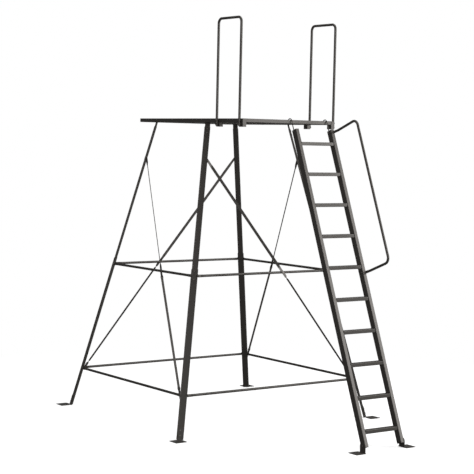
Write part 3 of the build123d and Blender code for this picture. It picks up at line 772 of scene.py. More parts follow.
class STAND_OT_legs(bpy.types.Operator):
    """Four legs, each of three nested channels. A channel outline is carried up the leg's line"""

    bl_idname = "stand.legs"
    bl_label = "Make Legs"
    bl_options = {"REGISTER", "UNDO"}

    def execute(self, context):
        coats = finishes(context)
        detail = context.scene.stand_detail
        web = LOWER_LEG[1] / 2
        made = []
        for name, corner in CORNERS.items():
            axis, outward, width, _ = leg_frame(corner)
            bottom = LEG_BOTTOM_GAP * axis[2]
            joint_top = JOINT_HEIGHT + LEG_OVERLAP - (LEG_BOTTOM_GAP - bottom) * axis[2]
            sections = {
                "leg_lower": (LOWER_LEG, 0.0, bottom, joint_top),
                "leg_upper": (UPPER_LEG, web - CHANNEL_WALL - UPPER_LEG[1] / 2,
                              JOINT_HEIGHT - LEG_OVERLAP, UPPER_TOP_HEIGHT),
                "leg_stub": (STUB_LEG, web - 2 * CHANNEL_WALL - STUB_LEG[1] / 2,
                             STUB_BOTTOM_HEIGHT, DECK_UNDERSIDE),
            }
            for part, (size, shift, low, high) in sections.items():
                outline, wear = channel_outline(*size)
                start = leg_point(corner, low) + outward * shift
                end = leg_point(corner, high) + outward * shift
                cut = DECK_UNDERSIDE if part == "leg_stub" else None
                surface = Surface().bar(outline, wear, start, end, -width, detail.edge, cut)
                node = f"{name}_{part}"
                made.append(surface.build(
                    f"{node}_channel", coats["powder_coat"], "tower", "powder_coat", [node]))
        return finished(self, made)


def foot_plan(spread, reach, shoulder):
    """Half the leg foot's width at each distance out from the leg: a square set on its corner.

    It starts at half the tab's width, widens at 45 degrees up to the shoulder and narrows at 45
    degrees to the tip. The side and tip corners are arcs.
    """
    root, near = np.sqrt(2.0) * FOOT_CORNER, FOOT_CORNER / np.sqrt(2.0)
    rise = FOOT_TAB_WIDTH / 2 + np.maximum(spread - FOOT_START, 0.0)
    plan = np.minimum(rise, np.maximum(reach - spread, 0.0))
    side_arc = np.sqrt(np.maximum(FOOT_CORNER**2 - (spread - shoulder) ** 2, 0.0))
    side_corner = FOOT_SIDE / np.sqrt(2.0) - root + side_arc
    plan = np.where(np.abs(spread - shoulder) < near, side_corner, plan)
    tip_corner = np.sqrt(np.maximum(FOOT_CORNER**2 - (spread - reach + root) ** 2, 1e-8))
    return np.where(spread > reach - root + near, tip_corner, plan)


class STAND_OT_leg_feet(bpy.types.Operator):
    """Four bent foot plates. A flat outline is carried down the tab, round the bend and out along
    the ground, and its half width follows a square set on its corner"""

    bl_idname = "stand.leg_feet"
    bl_label = "Make Leg Feet"
    bl_options = {"REGISTER", "UNDO"}

    def execute(self, context):
        coats = finishes(context)
        made = []
        widest = FOOT_SIDE / np.sqrt(2.0)
        shoulder = FOOT_START + widest - FOOT_TAB_WIDTH / 2
        reach = shoulder + widest
        for name, corner in CORNERS.items():
            axis, outward, width, diagonal = leg_frame(corner)
            ground = leg_point(corner, 0.0)
            tab_line = ground + outward * (LOWER_LEG[1] / 2 + FOOT_PLATE / 2)
            tab_top = tab_line + axis * FOOT_TAB_LENGTH
            knee = tab_line + axis * ((FOOT_PLATE / 2 - tab_line[2]) / axis[2])
            tip = ground + diagonal * (reach - 0.0002) + UP * (FOOT_PLATE / 2)
            path, headings = bent_path([tab_top, knee, tip], FOOT_BEND, 8)
            length = path_length(path)
            places = np.concatenate([
                FOOT_TAB_CORNER * np.array([0.125, 0.5, 1.0]),
                length - widest + np.linspace(-FOOT_CORNER, FOOT_CORNER, 9),
                length - np.linspace(0.0, 2 * FOOT_CORNER, 9),
                [length - (reach - FOOT_START) + 0.010]])
            _, path, headings = with_stations(path, headings, places)
            on_tab = path[:, 2] > FOOT_PLATE / 2 + 1e-4
            short = np.maximum(FOOT_TAB_CORNER - (tab_top - path) @ axis, 0.0)
            tab_arc = np.sqrt(np.clip(FOOT_TAB_CORNER**2 - short**2, 0.0, None))
            tab_half = FOOT_TAB_WIDTH / 2 - FOOT_TAB_CORNER + tab_arc
            plan = foot_plan((path - ground) @ diagonal, reach, shoulder)
            half = np.where(on_tab, tab_half, plan)
            flat = unit(np.array([width[0], width[1], 0.0]))
            rings, wear = plate_rings(half, path, flat, unit(np.cross(headings, flat)))
            surface = Surface().add(rings, wear)
            made.append(surface.build(
                f"{name}_foot_plate", coats["powder_coat"], "tower", "powder_coat", [f"{name}_foot"]))
        return finished(self, made)


class STAND_OT_braces(bpy.types.Operator):
    """Eight braces of round tube with flattened ends. The outline turns from a circle into a flat
    bar of the same girth towards each end, along a path that folds on to the legs"""

    bl_idname = "stand.braces"
    bl_label = "Make Braces"
    bl_options = {"REGISTER", "UNDO"}

    def execute(self, context):
        coats = finishes(context)
        made = []
        press_start, press_length = BRACE_PRESS
        from_end = np.concatenate([
            np.linspace(0.0, BRACE_NOSE, 6), np.linspace(press_start, press_start + press_length, 12)])
        for ring, height in (("middle", JOINT_HEIGHT), ("low", LOW_RING_HEIGHT)):
            for face, (normal, from_name, to_name) in FACES.items():
                start, end = CORNERS[from_name], CORNERS[to_name]
                route = [
                    flange_place(start, normal, height, BRACE_STAND_OFF, TAB_OUTER_END),
                    flange_place(start, normal, height, BRACE_STAND_OFF, TAB_BEND_END),
                    flange_place(end, normal, height, BRACE_STAND_OFF, TAB_BEND_END),
                    flange_place(end, normal, height, BRACE_STAND_OFF, TAB_OUTER_END),
                ]
                path, headings = bent_path(route, TAB_FOLD_RADIUS, 6)
                length = path_length(path)
                places, path, headings = with_stations(
                    path, headings, np.concatenate([from_end, length - from_end]))
                inset = np.minimum(places, length - places)
                share = smooth_step((inset - press_start) / press_length)
                outline = pressed_tube(BRACE_RADIUS, share, inset, BRACE_NOSE, 0.5)
                blend = (places / length)[:, None]
                guide = leg_frame(start)[0] * (1 - blend) + leg_frame(end)[0] * blend
                across, upward = frames_on(headings, guide)
                rings = carried(outline, path, across, upward)
                surface = Surface().add(rings, (1 - share)[:, None] * 0.35)
                node = f"{ring}_brace_{face}"
                made.append(surface.build(
                    f"{node}_tube", coats["powder_coat"], "tower", "powder_coat", [node]))
        return finished(self, made)


def strap_rings(tab_end, fold, far, axis, tab_normal, lift, most_turn):
    """A flat bar: a tab on the leg, a fold along the leg's line, then a straight blade.

    Each station has a half width vector and a half thickness vector. On the tab the width lies
    along the leg. On the blade it is square to the blade, sheared near the fold so that it
    starts along the leg. Between its flat ends the blade turns both vectors about its own run,
    by most_turn, with a smooth step at each end.
    """
    outline, wear = box_outline(STRAP_WIDTH, STRAP_THICKNESS, STRAP_EDGE, 3)
    outline = outline / np.array([STRAP_WIDTH / 2, STRAP_THICKNESS / 2])
    half, thick = STRAP_WIDTH / 2, STRAP_THICKNESS / 2
    direction = unit(far - fold)
    length = np.linalg.norm(far - fold) + STRAP_END_MARGIN
    blade_normal = unit(lift - direction * (lift @ direction))
    across = np.cross(blade_normal, direction)
    along_axis = axis * np.sign(axis @ across)
    shear = (along_axis @ direction) / (along_axis @ across)

    tab_length = np.linalg.norm(fold - tab_end)
    nose = np.array([0.0, 0.0006, 0.0018, 0.0035, 0.0060, tab_length * 0.55, tab_length - 0.003])
    short = STRAP_CORNER - np.minimum(nose, STRAP_CORNER)
    rounding = STRAP_CORNER - np.sqrt(np.clip(STRAP_CORNER**2 - short**2, 0, None))
    tab_points = tab_end + nose[:, None] * unit(fold - tab_end)
    tab_wide = along_axis * (STRAP_TAB_HEIGHT / 2 - rounding)[:, None]
    face_out = tab_normal * np.sign(tab_normal @ blade_normal)
    tab_thick = np.repeat(face_out[None] * thick, len(nose), axis=0)

    mitre = unit(face_out + blade_normal)
    fold_thick = mitre * thick / (mitre @ face_out)
    fold_wide = along_axis * np.hypot(half, half * shear)

    middle_end = length - STRAP_END_MARGIN
    turning = np.linspace(
        STRAP_TURN_START - 0.002, STRAP_TURN_START + STRAP_TURN_LENGTH + 0.002, 14)
    places = np.concatenate([
        [0.004, 0.012, 0.024, 0.036], turning, middle_end - turning[::-1],
        [length - 0.012, length - 0.003, length]])
    begun = smooth_step((places - STRAP_TURN_START) / STRAP_TURN_LENGTH)
    ended = smooth_step((middle_end - places - STRAP_TURN_START) / STRAP_TURN_LENGTH)
    turn = (begun * ended * most_turn)[:, None]
    shear_start, shear_length = STRAP_SHEAR
    lean = (shear * (1 - smooth_step((places - shear_start) / shear_length)))[:, None]
    blunt = np.clip(1 - (length - places) / STRAP_BLUNT, 0.0, 1.0)
    end_trim = (1 - 0.18 * blunt)[:, None]
    blade_points = fold + places[:, None] * direction
    turned = across * np.cos(turn) + blade_normal * np.sin(turn)
    blade_wide = (turned + direction * lean) * half * end_trim
    blade_thick = (blade_normal * np.cos(turn) - across * np.sin(turn)) * thick

    origins = np.concatenate([tab_points, fold[None], blade_points])
    wide = np.concatenate([tab_wide, fold_wide[None], blade_wide])
    thickness = np.concatenate([tab_thick, fold_thick[None], blade_thick])
    return carried(outline, origins, wide, thickness), wear * 0.8


class STAND_OT_straps(bpy.types.Operator):
    """Eight flat straps that wind round the tower. A thin outline is carried along each, folded
    at the leg, and turned about its own run between its flat ends"""

    bl_idname = "stand.straps"
    bl_label = "Make Straps"
    bl_options = {"REGISTER", "UNDO"}

    def execute(self, context):
        coats = finishes(context)
        made = []
        for face, (normal, from_name, to_name) in FACES.items():
            top, low, upper_end, lower_end, _, lift = strap_route(face)
            halves = {
                "upper": (CORNERS[from_name], STRAP_TOP_HEIGHT, STRAP_TOP_STAND_OFF, top, upper_end),
                "lower": (CORNERS[to_name], LOW_RING_HEIGHT, STRAP_LOW_STAND_OFF, low, lower_end),
            }
            for half, (corner, height, stand_off, fold, far) in halves.items():
                axis, _, width, _ = leg_frame(corner)
                tab_end = flange_place(corner, normal, height, stand_off, TAB_OUTER_END)
                side = flange_side(corner, normal)
                surface = Surface().add(*strap_rings(
                    tab_end, fold, far, axis, width * side, lift, STRAP_TURN[half]))
                node = f"{half}_strap_{face}"
                made.append(surface.build(
                    f"{node}_bar", coats["powder_coat"], "tower", "powder_coat", [node]))
        return finished(self, made)


class STAND_OT_deck_frame(bpy.types.Operator):
    """The deck's four tubes and four joists. A rectangular tube's outline is carried the length
    of each, out along its outside and back along its bore"""

    bl_idname = "stand.deck_frame"
    bl_label = "Make Deck Frame"
    bl_options = {"REGISTER", "UNDO"}

    def execute(self, context):
        coats = finishes(context)
        detail = context.scene.stand_detail
        made = []
        for node in CROSS_TUBES + SIDE_TUBES + JOISTS:
            low, high = (np.array(corner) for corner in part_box(node))
            size, middle = high - low, (low + high) / 2
            lengthways = 1 if node in SIDE_TUBES else 0
            along, across = np.eye(3)[lengthways], np.eye(3)[1 - lengthways]
            start = middle - along * size[lengthways] / 2
            end = start + along * size[lengthways]
            radius = 0.003 if node in JOISTS else 0.005
            width, depth = size[1 - lengthways], size[2]
            outer, wear = box_outline(width, depth, radius)
            inner, _ = box_outline(width - 2 * TUBE_WALL, depth - 2 * TUBE_WALL, radius - TUBE_WALL)
            surface = Surface().hollow_bar(outer, inner, wear, start, end, across, detail.edge)
            made.append(surface.build(
                f"{node}_section", coats["powder_coat"], "tower", "powder_coat", [node]))
        return finished(self, made)


class STAND_OT_deck_mesh(bpy.types.Operator):
    """The deck's expanded metal floor. Strand j runs across the deck as a flattened wave,
    y = j * s/2 - (-1)^j * (s/4) * wave(x), so that neighbours touch at every half wave"""

    bl_idname = "stand.deck_mesh"
    bl_label = "Make Deck Mesh"
    bl_options = {"REGISTER", "UNDO"}

    def execute(self, context):
        coats = finishes(context)
        detail = context.scene.stand_detail
        low, high = (np.array(corner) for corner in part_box("deck_floor"))
        pitch = detail.mesh_short / 2
        rows = int((high[1] - low[1]) / pitch) - 1
        first = (low[1] + high[1]) / 2 - (rows - 1) * pitch / 2
        waves = round((high[0] - low[0]) / detail.mesh_long)
        x = np.linspace(low[0], high[0], waves * 8 + 1)
        phase = (x - low[0]) / (high[0] - low[0]) * waves
        saw = 4 * np.abs(phase - np.floor(phase + 0.5)) - 1
        wave = np.clip(saw * 1.35, -1.0, 1.0)
        slope = np.gradient(wave, x)
        thickness = 0.0022
        outline, _ = box_outline(detail.strand, thickness, 0.0004, 1)
        # Two points at each corner are enough, because there are many strands
        outline = outline.reshape(4, 4, 2)[:, [0, 3]].reshape(-1, 2)
        surface = Surface()
        for row in range(rows):
            sign = 1.0 if row % 2 else -1.0
            y = first + row * pitch + sign * pitch / 2 * wave
            lift = 0.0005 * sign * wave
            path = np.stack([x, y, low[2] + thickness / 2 + 0.0010 + lift], 1)
            headings = unit(np.stack([np.ones_like(x), sign * pitch / 2 * slope, np.zeros_like(x)], 1))
            sideways = np.cross(UP, headings)
            tilt = radians(16.0) * (1 - np.abs(wave))[:, None]
            across = sideways * np.cos(tilt) + UP * np.sin(tilt)
            upward = UP * np.cos(tilt) - sideways * np.sin(tilt)
            surface.add(carried(outline, path, across, upward), 0.35)
        made = surface.build(
            "deck_expanded_mesh", coats["deck_mesh_coat"], "tower", "deck_mesh", ["deck_floor"], 30.0)
        return finished(self, made)


class STAND_OT_side_rails(bpy.types.Operator):
    """Two side rails, each one round tube carried up a post, round two bends and down again"""

    bl_idname = "stand.side_rails"
    bl_label = "Make Side Rails"
    bl_options = {"REGISTER", "UNDO"}

    def execute(self, context):
        coats = finishes(context)
        made = []
        foot, head = DECK_HEIGHT - POST_BOTTOM_DROP, DECK_HEIGHT + RAIL_RISE - RAIL_RADIUS
        for name, side in (("left", -1), ("right", 1)):
            route = [
                deck_point(side * RAIL_POST_X, POST_FRONT_Y, foot),
                deck_point(side * RAIL_POST_X, POST_FRONT_Y, head),
                deck_point(side * RAIL_POST_X, POST_REAR_Y, head),
                deck_point(side * RAIL_POST_X, POST_REAR_Y, foot),
            ]
            path, headings = bent_path(route, RAIL_BEND, 14)
            surface = Surface().pipe(path, headings, X_AXIS, RAIL_RADIUS, RAIL_WALL, 28)
            made.append(surface.build(
                f"{name}_rail_tube", coats["powder_coat"], "tower", "powder_coat", [f"{name}_side_rail"]))
        return finished(self, made)


class STAND_OT_rail_brackets(bpy.types.Operator):
    """Four bent brackets under the deck's side tubes. A folded strip's outline is carried along
    the tube, with a plate across one end"""

    bl_idname = "stand.rail_brackets"
    bl_label = "Make Rail Brackets"
    bl_options = {"REGISTER", "UNDO"}

    def execute(self, context):
        coats = finishes(context)
        detail = context.scene.stand_detail
        made = []
        edge, plate = detail.edge, BRACKET_PLATE
        low, top = DECK_UNDERSIDE - BRACKET_DROP, DECK_HEIGHT - plate
        outer, inner = DECK_HALF_X + plate, DECK_HALF_X - DECK_TUBE
        strip, wear = rounded_outline(
            [(outer, top), (outer - plate, top), (outer - plate, low + plate), (inner + plate, low + plate),
             (inner + plate, DECK_UNDERSIDE), (inner, DECK_UNDERSIDE), (inner, low), (outer, low)],
            [edge, edge, plate / 2, plate / 2, edge, edge, BRACKET_BEND, BRACKET_BEND])
        strips = np.stack([shrunk(strip, edge), strip, strip, shrunk(strip, edge)])
        for name, side in (("left", -1), ("right", 1)):
            for end, post_y in (("front", POST_FRONT_Y), ("rear", POST_REAR_Y)):
                at_front = end == "front"
                web_start = -DECK_FRONT - plate if at_front else post_y - BRACKET_HALF
                strip_start = -DECK_FRONT if at_front else web_start
                length = post_y + BRACKET_HALF - strip_start
                across = X_AXIS * side
                places = np.array([0.0, edge, length - edge, length])
                origins = deck_point(0.0, strip_start, 0.0) + places[:, None] * Y_AXIS
                surface = Surface().add(carried(strips, origins, across, UP), wear)
                web_top = top if at_front else DECK_UNDERSIDE
                web, web_wear = rounded_outline(
                    [(inner, low), (outer, low), (outer, web_top), (inner, web_top)], 0.003)
                webs = np.stack([shrunk(web, edge), web, web, shrunk(web, edge / 2)])
                places = np.array([0.0, edge, plate - edge / 2, plate])
                origins = deck_point(0.0, web_start, 0.0) + places[:, None] * Y_AXIS
                surface.add(carried(webs, origins, across, UP), web_wear)
                node = f"{name}_rail_bracket_{end}"
                made.append(surface.build(
                    f"{node}_plate", coats["powder_coat"], "tower", "powder_coat", [node]))
        return finished(self, made)


class STAND_OT_stiles(bpy.types.Operator):
    """The ladder's two stiles. A rectangular tube's outline is carried up the ladder's lean"""

    bl_idname = "stand.stiles"
    bl_label = "Make Stiles"
    bl_options = {"REGISTER", "UNDO"}

    def execute(self, context):
        coats = finishes(context)
        detail = context.scene.stand_detail
        made = []
        outer, wear = box_outline(*STILE, 0.003)
        inner, _ = box_outline(STILE[0] - 2 * TUBE_WALL, STILE[1] - 2 * TUBE_WALL, 0.001)
        for name, (x, _) in STILES.items():
            start, end = (ladder_point(x, height) for height in STILE_HEIGHTS)
            surface = Surface().hollow_bar(outer, inner, wear, start, end, X_AXIS, detail.edge)
            node = f"ladder_{name}_stile"
            made.append(surface.build(
                f"{node}_tube", coats["powder_coat"], "ladder", "powder_coat", [node]))
        return finished(self, made)


class STAND_OT_treads(bpy.types.Operator):
    """The ladder's level treads. A rectangular tube's outline is carried from stile to stile"""

    bl_idname = "stand.treads"
    bl_label = "Make Treads"
    bl_options = {"REGISTER", "UNDO"}

    def execute(self, context):
        coats = finishes(context)
        detail = context.scene.stand_detail
        outer, wear = box_outline(*TREAD, 0.003)
        inner, _ = box_outline(TREAD[0] - 2 * TUBE_WALL, TREAD[1] - 2 * TUBE_WALL, 0.001)
        surface = Surface()
        for height in TREAD_HEIGHTS:
            start = ladder_point(LEFT_STILE_X + STILE[0] / 2, height)
            end = ladder_point(RIGHT_STILE_X - STILE[0] / 2, height)
            surface.hollow_bar(outer, inner, wear, start, end, Y_AXIS, detail.edge * 0.3)
        made = surface.build(
            "ladder_treads", coats["tread_coat"], "ladder", "tread_coat", ["ladder_rungs"])
        return finished(self, made)


class STAND_OT_hooks(bpy.types.Operator):
    """The ladder's two hooks: a rod carried up from the stile and round the deck's front tube,
    on a cap and plug in the stile's top"""

    bl_idname = "stand.hooks"
    bl_label = "Make Hooks"
    bl_options = {"REGISTER", "UNDO"}

    def execute(self, context):
        coats = finishes(context)
        detail = context.scene.stand_detail
        made = []
        centre = deck_point(0.0, -DECK_FRONT + DECK_TUBE / 2, HOOK_HEIGHT)
        turn = np.linspace(0.0, HOOK_TURN, 33)[:, None]
        cap, cap_wear = box_outline(*STILE, 0.003)
        bore = (side - 2 * TUBE_WALL - PLUG_PLAY for side in STILE)
        plug, plug_wear = box_outline(*bore, 0.001)
        for name, (x, _) in STILES.items():
            middle = centre + X_AXIS * x
            top = ladder_point(x, STILE_HEIGHTS[1])
            tangent = middle + LADDER_FRONT * HOOK_RADIUS
            foot = tangent - LADDER_UP * ((tangent - top) @ LADDER_UP + HOOK_ROOT)
            arc = middle + HOOK_RADIUS * (np.cos(turn) * LADDER_FRONT + np.sin(turn) * LADDER_UP)
            way = np.cos(turn) * LADDER_UP - np.sin(turn) * LADDER_FRONT
            nose = arc[-1] + np.array([0.0008, 0.0014])[:, None] * way[-1]
            path = np.concatenate([foot[None], arc, nose])
            headings = np.concatenate([LADDER_UP[None], way, way[-1:], way[-1:]])
            size = np.ones(len(path))
            size[-2:] = (0.88, 0.62)
            across, upward = frames_on(headings, X_AXIS)
            rod = circle_outline(HOOK_ROD, 20)[None] * size[:, None, None]
            surface = Surface().add(carried(rod, path, across, upward))
            swell = np.linspace(-np.pi / 2, np.pi / 2, 7)[:, None]
            rings = np.stack([circle_outline(HOOK_ROD + 0.003 * bulge, 20) for bulge in np.cos(swell[:, 0])])
            base = top + LADDER_UP * CAP_THICKNESS + LADDER_FRONT * ((tangent - top) @ LADDER_FRONT)
            bead = base + 0.003 * np.sin(swell) * LADDER_UP
            surface.add(carried(rings, bead, X_AXIS, np.cross(LADDER_UP, X_AXIS)))
            surface.bar(cap, cap_wear, top, top + LADDER_UP * CAP_THICKNESS, X_AXIS, detail.edge)
            plug_start, plug_end = top - LADDER_UP * PLUG_LENGTH, top - LADDER_UP * 0.0001
            surface.bar(plug, plug_wear, plug_start, plug_end, X_AXIS, detail.edge)
            node = f"ladder_{name}_hook"
            made.append(surface.build(
                f"{node}_rod", coats["powder_coat"], "ladder", "powder_coat", [node]))
        return finished(self, made)


class STAND_OT_grab_rail(bpy.types.Operator):
    """The grab rail beside the ladder: a round tube carried out, along and back, its outline
    pressed into a flat bar at both ends, where it also moves in against the stile"""

    bl_idname = "stand.grab_rail"
    bl_label = "Make Grab Rail"
    bl_options = {"REGISTER", "UNDO"}

    def execute(self, context):
        coats = finishes(context)
        x = RIGHT_STILE_X + STILE[0] / 2 + FIT_GAP + RAIL_RADIUS
        high, low = GRAB_HEIGHTS
        route = [
            ladder_point(x, high, GRAB_END),
            ladder_point(x, high, GRAB_REACH),
            ladder_point(x, low, GRAB_REACH),
            ladder_point(x, low, GRAB_END),
        ]
        path, headings = bent_path(route, GRAB_BEND, 16)
        length = path_length(path)
        press_start, press_length = GRAB_PRESS
        pressing = np.linspace(press_start - 0.002, press_start + press_length + 0.002, 14)
        from_end = np.concatenate([np.linspace(0.0, GRAB_NOSE, 8), pressing])
        places, path, headings = with_stations(
            path, headings, np.concatenate([from_end, length - from_end]))
        inset = np.minimum(places, length - places)
        share = smooth_step((inset - press_start) / press_length)
        path = path - X_AXIS * ((RAIL_RADIUS - BRACE_FLAT / 2) * (1 - share))[:, None]
        outline = pressed_tube(RAIL_RADIUS, share, inset, GRAB_NOSE, 0.45)
        across = unit(np.cross(headings, X_AXIS))
        surface = Surface().add(carried(outline, path, across, X_AXIS), (1 - share)[:, None] * 0.4)
        made = surface.build(
            "ladder_grab_rail", coats["powder_coat"], "ladder", "powder_coat", ["ladder_handrail"])
        return finished(self, made)


class STAND_OT_ladder_feet(bpy.types.Operator):
    """The ladder's two swivelling feet. A flat outline is carried down a round-topped tab, round
    the bend and out along the ground"""

    bl_idname = "stand.ladder_feet"
    bl_label = "Make Ladder Feet"
    bl_options = {"REGISTER", "UNDO"}

    def execute(self, context):
        coats = finishes(context)
        made = []
        plate = FOOT_PLATE
        crown = LADDER_FOOT_TAB * (1 - np.cos(np.linspace(0.0, np.pi / 2, 14)))
        corner = FOOT_CORNER * (1 - np.cos(np.linspace(0.0, np.pi / 2, 6)))
        for name, (stile_x, outer) in STILES.items():
            y = ladder_point(stile_x, PIVOT_HEIGHT)[1]
            tab_x = stile_x + outer * (STILE[0] / 2 + FIT_GAP)
            path, headings = bent_path(
                [(tab_x + outer * plate / 2, y, PIVOT_HEIGHT + LADDER_FOOT_TAB - 0.0001),
                 (tab_x + outer * plate / 2, y, plate / 2),
                 (tab_x + outer * FOOT_SIDE, y, plate / 2)], LADDER_FOOT_BEND, 8)
            length = path_length(path)
            plate_start = length - (FOOT_SIDE - plate - 0.003)
            before = plate_start - 0.0002
            places, path, headings = with_stations(
                path, headings, np.concatenate([crown, [before], before + corner, length - corner]))
            over = np.maximum(path[:, 2] - PIVOT_HEIGHT, 0.0)
            tab_half = np.sqrt(np.maximum(LADDER_FOOT_TAB**2 - over**2, 1e-7))
            from_edge = np.minimum(places - plate_start, length - places)
            short = np.clip(FOOT_CORNER - from_edge, 0, FOOT_CORNER)
            lost = FOOT_CORNER - np.sqrt(np.clip(FOOT_CORNER**2 - short**2, 0, None))
            half = np.where(places < plate_start, tab_half, FOOT_SIDE / 2 - lost)
            rings, wear = plate_rings(half, path, Y_AXIS, unit(np.cross(headings, Y_AXIS)))
            surface = Surface().add(rings, wear)
            made.append(surface.build(
                f"ladder_{name}_foot_plate", coats["powder_coat"], f"ladder_foot_{name}",
                "powder_coat", [f"ladder_{name}_foot"]))
        return finished(self, made)


def bolt(surface, seat, direction, grip, shank=BOLT_SHANK, across_corners=BOLT_ACROSS):
    """One bolt with its nut, as rings round its axis.

    A hexagon's edge lies at flat / cos(angle from the middle of the flat), and the chamfer cuts
    it back to a circle at the top of the head and at both faces of the nut.
    """
    direction = unit(direction)
    hint = UP if abs(direction[2]) < 0.9 else X_AXIS
    across = unit(np.cross(direction, hint))
    upward = np.cross(direction, across)
    around = circle_outline(1.0, 24)
    angle = np.arange(24) / 24 * 2 * np.pi
    corner = across_corners / 2
    flat = corner * np.cos(np.pi / 6)
    from_flat = np.mod(angle, np.pi / 3) - np.pi / 6
    hexagon = flat / np.cos(from_flat)
    head, nut = 0.0053 * across_corners / BOLT_ACROSS, 0.0065 * across_corners / BOLT_ACROSS
    tail = -grip - nut - BOLT_TAIL
    chamfer = flat * 0.97
    face = np.minimum(hexagon, chamfer)
    high_face = np.minimum(hexagon, flat + (corner - flat) * 0.45)
    whole = np.ones(24)
    rings = [
        (head, whole * shank * 0.55), (head, whole * chamfer * 0.86), (head - 0.0001, face),
        (head - 0.0008, high_face), (head - 0.0013, hexagon), (0.0006, hexagon),
        (0.0005, whole * chamfer), (0.0, whole * chamfer), (0.0, whole * shank),
        (-grip, whole * shank), (-grip, whole * chamfer), (-grip - 0.0006, high_face),
        (-grip - 0.0012, hexagon), (-grip - nut + 0.0013, hexagon), (-grip - nut + 0.0007, high_face),
        (-grip - nut, face), (-grip - nut, whole * shank * 1.08),
        (tail + 0.0006, whole * shank), (tail, whole * shank * 0.8),
    ]
    places = np.array([place for place, _ in rings])
    radii = np.stack([radius for _, radius in rings])
    origins = seat + places[:, None] * direction
    surface.add(carried(radii[..., None] * around[None], origins, across, upward))


def leg_bolts():
    """Two bolts through each leg's foot plate, two at its joint and two at its stub."""
    surface = Surface()
    web, wall = LOWER_LEG[1] / 2, CHANNEL_WALL
    joints = (
        (FOOT_BOLT_HEIGHTS, web + FOOT_PLATE, FOOT_PLATE + wall),
        ((JOINT_HEIGHT - JOINT_BOLT_REACH, JOINT_HEIGHT + JOINT_BOLT_REACH), web, 2 * wall),
        ((STUB_BOTTOM_HEIGHT + STUB_BOLT_REACH, UPPER_TOP_HEIGHT - STUB_BOLT_REACH), web - wall, 2 * wall),
    )
    for corner in CORNERS.values():
        outward = leg_frame(corner)[1]
        for heights, face, grip in joints:
            for height in heights:
                bolt(surface, leg_point(corner, height) + outward * face, outward, grip)
    return surface


def brace_bolts():
    """Bolts through the legs' flanges, and one where each face's straps cross its brace."""
    surface = Surface()
    brace_stack = BRACE_STAND_OFF + BRACE_FLAT / 2
    low_stack = STRAP_LOW_STAND_OFF + STRAP_THICKNESS / 2
    for face, (normal, from_name, to_name) in FACES.items():
        joint = (JOINT_HEIGHT, UPPER_LEG[0], brace_stack)
        places = {
            from_name: (joint, (LOW_RING_HEIGHT, LOWER_LEG[0], brace_stack),
                        (STRAP_TOP_HEIGHT, UPPER_LEG[0], STRAP_TOP_STAND_OFF + STRAP_THICKNESS / 2)),
            to_name: (joint, (LOW_RING_HEIGHT, LOWER_LEG[0], low_stack)),
        }
        for name, stacks in places.items():
            _, outward, width, _ = leg_frame(CORNERS[name])
            heading = width * flange_side(CORNERS[name], normal)
            for height, section, stack in stacks:
                middle = leg_point(CORNERS[name], height) + outward * FLANGE_BOLT_SHIFT
                bolt(surface, middle + heading * stack, heading, stack - section / 2 + CHANNEL_WALL)
        _, _, _, _, on_brace, lift = strap_route(face)
        stack = BRACE_RADIUS + 2 * STRAP_THICKNESS + 2 * CROSSING_GAP
        bolt(surface, on_brace + lift * stack, lift, stack + BRACE_RADIUS + CROSSING_GAP)
    return surface


def rail_bolts():
    """Two bolts through each rail post: one into the deck's side tube, one into its bracket."""
    surface = Surface()
    levels = ((HOOK_HEIGHT, TUBE_WALL), (DECK_UNDERSIDE - BRACKET_DROP / 2, 0.0))
    for side in (-1, 1):
        for post_y in (POST_FRONT_Y, POST_REAR_Y):
            for height, inner in levels:
                seat = deck_point(side * (RAIL_POST_X + RAIL_RADIUS), post_y, height)
                bolt(surface, seat, X_AXIS * side, 2 * RAIL_RADIUS + BRACKET_PLATE + inner)
    return surface


def grab_bolts():
    """Two bolts through each pressed end of the grab rail and through the stile."""
    surface = Surface()
    seat_x = RIGHT_STILE_X + STILE[0] / 2 + FIT_GAP + BRACE_FLAT
    for height in GRAB_HEIGHTS:
        for shift in GRAB_BOLT_SHIFTS:
            seat = ladder_point(seat_x, height, shift)
            bolt(surface, seat, X_AXIS, STILE[0] + FIT_GAP + BRACE_FLAT)
    return surface


def pivot_bolts():
    """The bolt that each ladder foot turns on."""
    surface = Surface()
    stack = STILE[0] / 2 + 2 * FIT_GAP + FOOT_PLATE
    for x, outer in STILES.values():
        seat = ladder_point(x, PIVOT_HEIGHT) + X_AXIS * (outer * stack)
        bolt(surface, seat, X_AXIS * outer, stack + STILE[0] / 2, PIVOT_SHANK, PIVOT_ACROSS)
    return surface


class STAND_OT_bolts(bpy.types.Operator):
    """All hexagon bolts and nuts, group by group. Each is a set of rings round its axis, their
    radius that of a hexagon cut back by the chamfer"""

    bl_idname = "stand.bolts"
    bl_label = "Make Bolts"
    bl_options = {"REGISTER", "UNDO"}

    def execute(self, context):
        steel = finishes(context)["plated_steel"]
        groups = (
            ("leg_hex_bolts", leg_bolts(), "tower", "leg_bolts"),
            ("brace_hex_bolts", brace_bolts(), "tower", "brace_bolts"),
            ("rail_hex_bolts", rail_bolts(), "tower", "rail_bolts"),
            ("grab_rail_hex_bolts", grab_bolts(), "ladder", "handrail_bolts"),
            ("foot_pivot_hex_bolts", pivot_bolts(), "ladder", "foot_pivot_bolts"),
        )
        made = [surface.build(name, steel, body, "hardware", [node], 25.0)
                for name, surface, body, node in groups]
        return finished(self, made)


